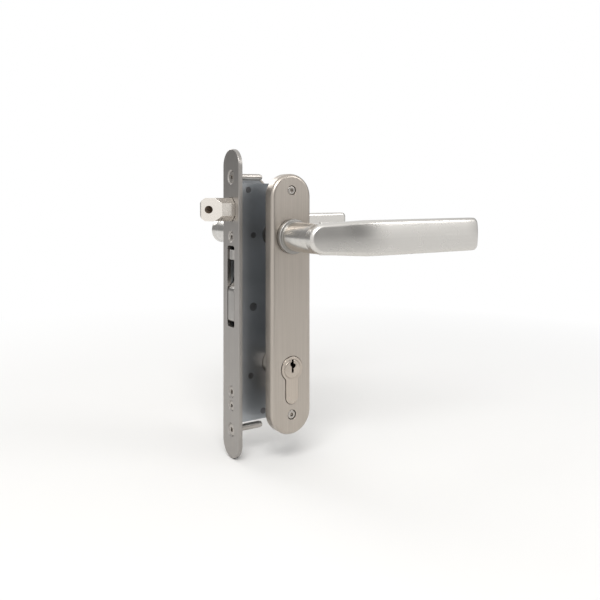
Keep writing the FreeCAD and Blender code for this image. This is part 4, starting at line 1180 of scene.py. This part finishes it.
class GATELOCK_OT_cylinder(bpy.types.Operator):
    """The profile cylinder's body, bored for its plugs, with the gap that its cam turns in"""

    bl_idname = "gatelock.cylinder"
    bl_label = "Cylinder"

    def execute(self, context):
        lo, hi = boxes["cylinder_body"]
        sizes = settings("cylinder")
        bm = bmesh.new()
        face = euro_outline(bm, lo.y, 0.0)
        pull(bm, face, Y * (hi.y - lo.y))
        bmesh.ops.recalc_face_normals(bm, faces=bm.faces)
        round_edges(bm, level_edges(bm), end_round, steps=3)
        piece = new_object("cylinder_housing", bm)
        axis = Z * cylinder_z
        screw_axis = axis - Z * screw_drop
        side = X * (sizes.barrel + past)
        bores = bmesh.new()
        rod(bores, sizes.plug + bore_gap, axis + Y * (lo.y - past), axis + Y * (hi.y + past), steps=72)
        cam_slot = bmesh.new()
        slab(cam_slot, axis - side - Y * cam_gap - Z * web_top, axis + side + Y * cam_gap + Z * side.x)
        screw_hole = bmesh.new()
        rod(screw_hole, m5_shank, screw_axis - side, screw_axis + side)
        for cutters in (bores, cam_slot, screw_hole):
            carve(piece, cutters)
        soften(piece, width=0.1 * mm, steps=2, limit=40)
        dress(piece, cylinder_nickel(), "lock", "cylinder_nickel", "cylinder_body")
        return {"FINISHED"}


class GATELOCK_OT_plugs(bpy.types.Operator):
    """The two plugs, with their warded keyways"""

    bl_idname = "gatelock.plugs"
    bl_label = "Plugs"

    def execute(self, context):
        sizes = settings("cylinder")
        radius = sizes.plug
        half = sizes.keyway / 2
        right = half + keyway_jog
        left = -half - keyway_jog * 0.7
        # Heights in the keyway are in thirds of it, counted from its foot
        foot = cylinder_z - keyway_foot
        third = (keyway_top + keyway_foot) / 3
        keyway = [
            (-half, 0), (half, 0), (half, 0.9), (right, 1.3), (right, 1.8), (half, 2), (half, 3), (-half, 3),
            (-half, 2.4), (left, 2.2), (left, 1.6), (-half, 1.3),
        ]
        for side, name, body in ((-1, "front_plug", "front_key_turn"), (1, "rear_plug", "rear_key_turn")):
            lo, hi = boxes[name]
            face = lo.y if side < 0 else hi.y
            shoulder = abs(face) - plug_end
            end = abs(face) - 0.3 * mm
            profile = [
                (0, 0), (radius - 1.5 * mm, 0), (radius - 0.5 * mm, 0.06 * mm),
                (radius - 0.12 * mm, 0.28 * mm), (radius, 0.7 * mm), (radius, shoulder),
                (clip_neck, shoulder), (clip_neck, shoulder + 0.6 * mm), (cam_peg, shoulder + 0.6 * mm),
                (cam_peg, end), (0, end),
            ]
            bm = bmesh.new()
            turned(bm, profile, Y * -side, Vector((0, face, cylinder_z)), steps=72)
            piece = new_object(name + "_turned", bm)
            cutters = bmesh.new()
            y = face + side * past
            slot = flat_face(cutters, [(x, y, foot + third * share) for x, share in keyway])
            pull(cutters, slot, Y * -side * (abs(face) - keyway_end + past))
            carve(piece, cutters)
            soften(piece, width=0.12 * mm, steps=2, limit=50)
            dress(piece, plug_nickel(), body, "cylinder_nickel", name)
        return {"FINISHED"}


# The pieces whose CAD shapes stay


def dressed_copy(node, width, finish, body, slot):
    """A CAD node's shape with its loose triangles joined and its edges rounded."""
    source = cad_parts[node].data
    bm = bmesh.new()
    bm.from_mesh(source)
    bmesh.ops.remove_doubles(bm, verts=bm.verts, dist=2 * hair)
    bmesh.ops.dissolve_limit(bm, angle_limit=math.radians(0.5), verts=bm.verts, edges=bm.edges)
    piece = new_object(node + "_edged", bm)
    soften(piece, width=width, steps=2, limit=40)
    dress(piece, finish, body, slot, node)
    return piece


class GATELOCK_OT_case(bpy.types.Operator):
    """The lock case and its cover, the plates behind the backplates, the spindle and two springs"""

    bl_idname = "gatelock.case"
    bl_label = "Case and Spindle"

    def execute(self, context):
        for node, width, finish, body, slot in (
            ("case_shell", 0.25 * mm, case_zinc, "lock", "case_steel"),
            ("case_cover", 0.15 * mm, case_zinc, "lock", "case_steel"),
            ("front_support_plate", 0.3 * mm, cast_zinc, "lock", "cast_zinc"),
            ("rear_support_plate", 0.3 * mm, cast_zinc, "lock", "cast_zinc"),
            ("spindle", 0.1 * mm, spring_wire, "handle", "rivet_steel"),
        ):
            dressed_copy(node, width, finish(), body, slot)
        self.springs()
        return {"FINISHED"}

    def springs(self):
        """The follower's spring and the latch's spring, copied with their CAD shapes."""
        coil = dressed_copy("return_spring", 0.0, spring_wire(), "lock", "spring_steel")
        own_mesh(coil)
        leg = dressed_copy("latch_spring", 0.0, spring_wire(), None, "spring_steel")
        # The coil, of 3.2 mm outer radius, sits on its post at the spring's foot. The leg bends over it.
        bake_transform(leg)


class GATELOCK_OT_inner_parts(bpy.types.Operator):
    """Finishes for the works inside the case and the cylinder, which keep their CAD shapes"""

    bl_idname = "gatelock.inner_parts"
    bl_label = "Inner Parts"

    def execute(self, context):
        finishes = {
            screw_steel: ("grub_screws",),
            stem_shade_steel: ("latch_stem",),
            spring_wire: (
                "case_posts", "hook_pivot_pin", "hook_drive_pin", "sleeve_nuts", "return_plunger",
                "pin_springs", "detent_spring", "lever_rings", "front_plug_clip", "rear_plug_clip",
            ),
            case_zinc: ("spring_seat", "latch_tail", "drive_plate"),
            sintered_steel: ("follower", "cam"),
            turned_brass: ("driver_pins", "front_key_pins", "rear_key_pins"),
            black_acetal: ("lever_bushes",),
        }
        for finish, nodes in finishes.items():
            for node in nodes:
                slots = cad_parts[node].data.materials
                slots.clear()
                slots.append(finish())
        return {"FINISHED"}


# The stage

# Each lamp's name, place, target, width and height, all in metres, and its share of the main lamp's power
lamps = (
    ("key lamp", (-0.55, -0.75, 0.85), (0.0, 0.0, -0.03), 0.7, 0.5, 1.0),
    ("fill lamp", (0.78, -0.84, 0.55), (0.05, 0.0, 0.0), 0.5, 0.35, 0.26),
    ("back lamp", (-0.12, 1.0, 0.54), (0.0, 0.0, -0.02), 0.6, 0.36, 0.3),
)
floor_radius = 3.0
floor_gap = 0.2 * mm             # under the forend's foot
shadow_end = 0.22                # from here to white_start, the paper turns to plain white
white_start = 0.7

# The camera's place and turn, and its picture in pixels: its width, its focal length and its horizon
camera_place = (-0.263578, -0.448416, 0.030493)
camera_turn = -0.5779244959
picture_width = 600
focal_length = 706.2069
horizon = 192.5215
sensor_width = 36.0              # in millimetres

# In the metal, the white falls off to grey in front, behind on the left, and on the right. Each patch
# has its direction, the cosines where it starts and where it is darkest, and its level there.
grey_patches = (
    ((0.0, -0.98, 0.16), 0.84, 0.975, 0.24),
    ((-0.52, 0.85, 0.05), 0.58, 0.95, 0.30),
    ((0.98, 0.17, 0.0), 0.58, 0.95, 0.40),
)
background_light = 0.6


def lamp(name, place, target, width, height, watts):
    data = bpy.data.lights.new(name, "AREA")
    data.shape = "RECTANGLE"
    data.size = width
    data.size_y = height
    data.energy = watts
    light = bpy.data.objects.new(name, data)
    light.location = place
    light.rotation_euler = (Vector(target) - Vector(place)).to_track_quat("-Z", "Y").to_euler()
    bpy.context.scene.collection.objects.link(light)


def shown_plainly(tree, paths):
    """1 for the rays that show a thing itself: to the camera, in a reflection and through glass."""
    seen = paths["Is Camera Ray"]
    for kind in ("Is Glossy Ray", "Is Transmission Ray"):
        seen = add(tree, "ShaderNodeMath", {"operation": "MAXIMUM"}, {0: seen, 1: paths[kind]}).outputs[0]
    return seen


def patch(tree, direction, place, edge, core, bright, dark):
    """A level that falls from bright to dark as the direction nears a place."""
    near = add(
        tree, "ShaderNodeVectorMath", {"operation": "DOT_PRODUCT", 1: place}, {0: direction}
    ).outputs["Value"]
    return add(
        tree,
        "ShaderNodeMapRange",
        {"interpolation_type": "SMOOTHSTEP", "From Min": edge, "From Max": core, "To Min": bright,
         "To Max": dark},
        {"Value": near},
    ).outputs["Result"]


def level_in_metal(tree, paths, level):
    """Full strength to the eye, and the given level in a reflection."""
    return add(
        tree, "ShaderNodeMapRange", {"To Min": 1.0}, {"Value": paths["Is Glossy Ray"], "To Max": level}
    ).outputs["Result"]


class GATELOCK_OT_stage(bpy.types.Operator):
    """A plain pale floor, soft studio light and the camera at the photograph's viewing angle"""

    bl_idname = "gatelock.stage"
    bl_label = "Stage"

    def execute(self, context):
        scene = context.scene
        stage = settings("stage")
        bm = bmesh.new()
        bmesh.ops.create_circle(bm, cap_ends=True, segments=96, radius=floor_radius)
        bmesh.ops.translate(bm, verts=bm.verts, vec=Z * (low("forend").z - floor_gap))
        floor = new_object("floor", bm)
        floor.data.materials.append(self.floor_finish(list(stage.floor)))
        self.background(scene)
        for name, place, target, width, height, share in lamps:
            lamp(name, place, target, width, height, stage.light * share)
        data = bpy.data.cameras.new("camera")
        camera = bpy.data.objects.new("camera", data)
        camera.location = camera_place
        camera.rotation_euler = (math.pi / 2, 0, camera_turn)
        data.sensor_width = sensor_width
        data.lens = sensor_width * focal_length / picture_width
        data.shift_y = -(picture_width / 2 - horizon) / picture_width
        data.clip_start = 0.01
        scene.collection.objects.link(camera)
        scene.camera = camera
        scene.view_settings.view_transform = "Standard"
        return {"FINISHED"}

    def floor_finish(self, colour):
        """Matt white paper that keeps the object's shadow and turns to plain white further out."""
        material, tree = new_finish("white paper floor")
        place = add(tree, "ShaderNodeTexCoord").outputs["Object"]
        away = add(tree, "ShaderNodeVectorMath", {"operation": "LENGTH"}, {0: place}).outputs["Value"]
        far = add(
            tree, "ShaderNodeMapRange",
            {"From Min": shadow_end, "From Max": white_start, "To Min": 0.0, "To Max": 1.0},
            {"Value": away},
        ).outputs["Result"]
        paths = add(tree, "ShaderNodeLightPath").outputs
        seen = shown_plainly(tree, paths)
        factor = add(tree, "ShaderNodeMath", {"operation": "MULTIPLY"}, {0: far, 1: seen}).outputs[0]
        paper = add(tree, "ShaderNodeBsdfDiffuse", {"Color": (*colour, 1.0)}).outputs["BSDF"]
        # In the metal, the paper straight in front of the lock is darker than the rest
        toward = add(tree, "ShaderNodeVectorMath", {"operation": "NORMALIZE"}, {0: place}).outputs["Vector"]
        level = patch(tree, toward, (0.1, -0.995, 0.0), 0.82, 0.99, 0.92, 0.62)
        mirrored = level_in_metal(tree, paths, level)
        white = add(tree, "ShaderNodeEmission", {}, {"Strength": mirrored}).outputs["Emission"]
        mixed = add(tree, "ShaderNodeMixShader", {}, {0: factor, 1: paper, 2: white}).outputs["Shader"]
        add(tree, "ShaderNodeOutputMaterial", links={"Surface": mixed})
        return material

    def background(self, scene):
        """White to the eye and in reflections, and an even grey as a source of light."""
        world = bpy.data.worlds.new("studio")
        scene.world = world
        world.use_nodes = True
        tree = world.node_tree
        tree.nodes.clear()
        paths = add(tree, "ShaderNodeLightPath").outputs
        soft = add(
            tree, "ShaderNodeBackground", {"Color": (1, 1, 1, 1), "Strength": background_light}
        ).outputs[0]
        direction = add(tree, "ShaderNodeTexCoord").outputs["Generated"]
        level = None
        for place, edge, core, dark in grey_patches:
            kept = patch(tree, direction, place, edge, core, 1.0, dark)
            level = kept if level is None else add(
                tree, "ShaderNodeMath", {"operation": "MULTIPLY"}, {0: level, 1: kept}
            ).outputs[0]
        mirrored = level_in_metal(tree, paths, level)
        white = add(tree, "ShaderNodeBackground", {"Color": (1, 1, 1, 1)}, {"Strength": mirrored}).outputs[0]
        seen = shown_plainly(tree, paths)
        mixed = add(tree, "ShaderNodeMixShader", {}, {0: seen, 1: soft, 2: white}).outputs["Shader"]
        add(tree, "ShaderNodeOutputWorld", links={"Surface": mixed})


operators = (
    GATELOCK_OT_forend,
    GATELOCK_OT_forend_screws,
    GATELOCK_OT_latch,
    GATELOCK_OT_hook,
    GATELOCK_OT_backplates,
    GATELOCK_OT_through_bolts,
    GATELOCK_OT_levers,
    GATELOCK_OT_cylinder,
    GATELOCK_OT_plugs,
    GATELOCK_OT_case,
    GATELOCK_OT_inner_parts,
    GATELOCK_OT_stage,
)

groups = {
    "forend": ForendSizes,
    "bolts": BoltSizes,
    "plates": PlateSizes,
    "levers": LeverSizes,
    "cylinder": CylinderSizes,
    "finishes": Finishes,
    "stage": StageSettings,
}


class GATELOCK_PT_panel(bpy.types.Panel):
    """Sizes and colours of the lock, and the operators that build it"""

    bl_idname = "GATELOCK_PT_panel"
    bl_label = "Gate Lock"
    bl_space_type = "VIEW_3D"
    bl_region_type = "UI"
    bl_category = "Gate Lock"

    def draw(self, context):
        for name, group in groups.items():
            box = self.layout.box()
            box.label(text=name.capitalize())
            for prop in group.__annotations__:
                box.prop(settings(name), prop)
        for operator in operators:
            self.layout.operator(operator.bl_idname)


def register():
    for group in groups.values():
        bpy.utils.register_class(group)
    for name, group in groups.items():
        setattr(bpy.types.Scene, "gate_lock_" + name, PointerProperty(type=group))
    for operator in operators:
        bpy.utils.register_class(operator)
    bpy.utils.register_class(GATELOCK_PT_panel)


def unregister():
    bpy.utils.unregister_class(GATELOCK_PT_panel)
    for operator in reversed(operators):
        bpy.utils.unregister_class(operator)
    for name in groups:
        delattr(bpy.types.Scene, "gate_lock_" + name)
    for group in groups.values():
        bpy.utils.unregister_class(group)


def main():
    register()
    for operator in operators:
        family, name = operator.bl_idname.split(".")
        getattr(getattr(bpy.ops, family), name)()


if __name__ == "__main__":
    main()
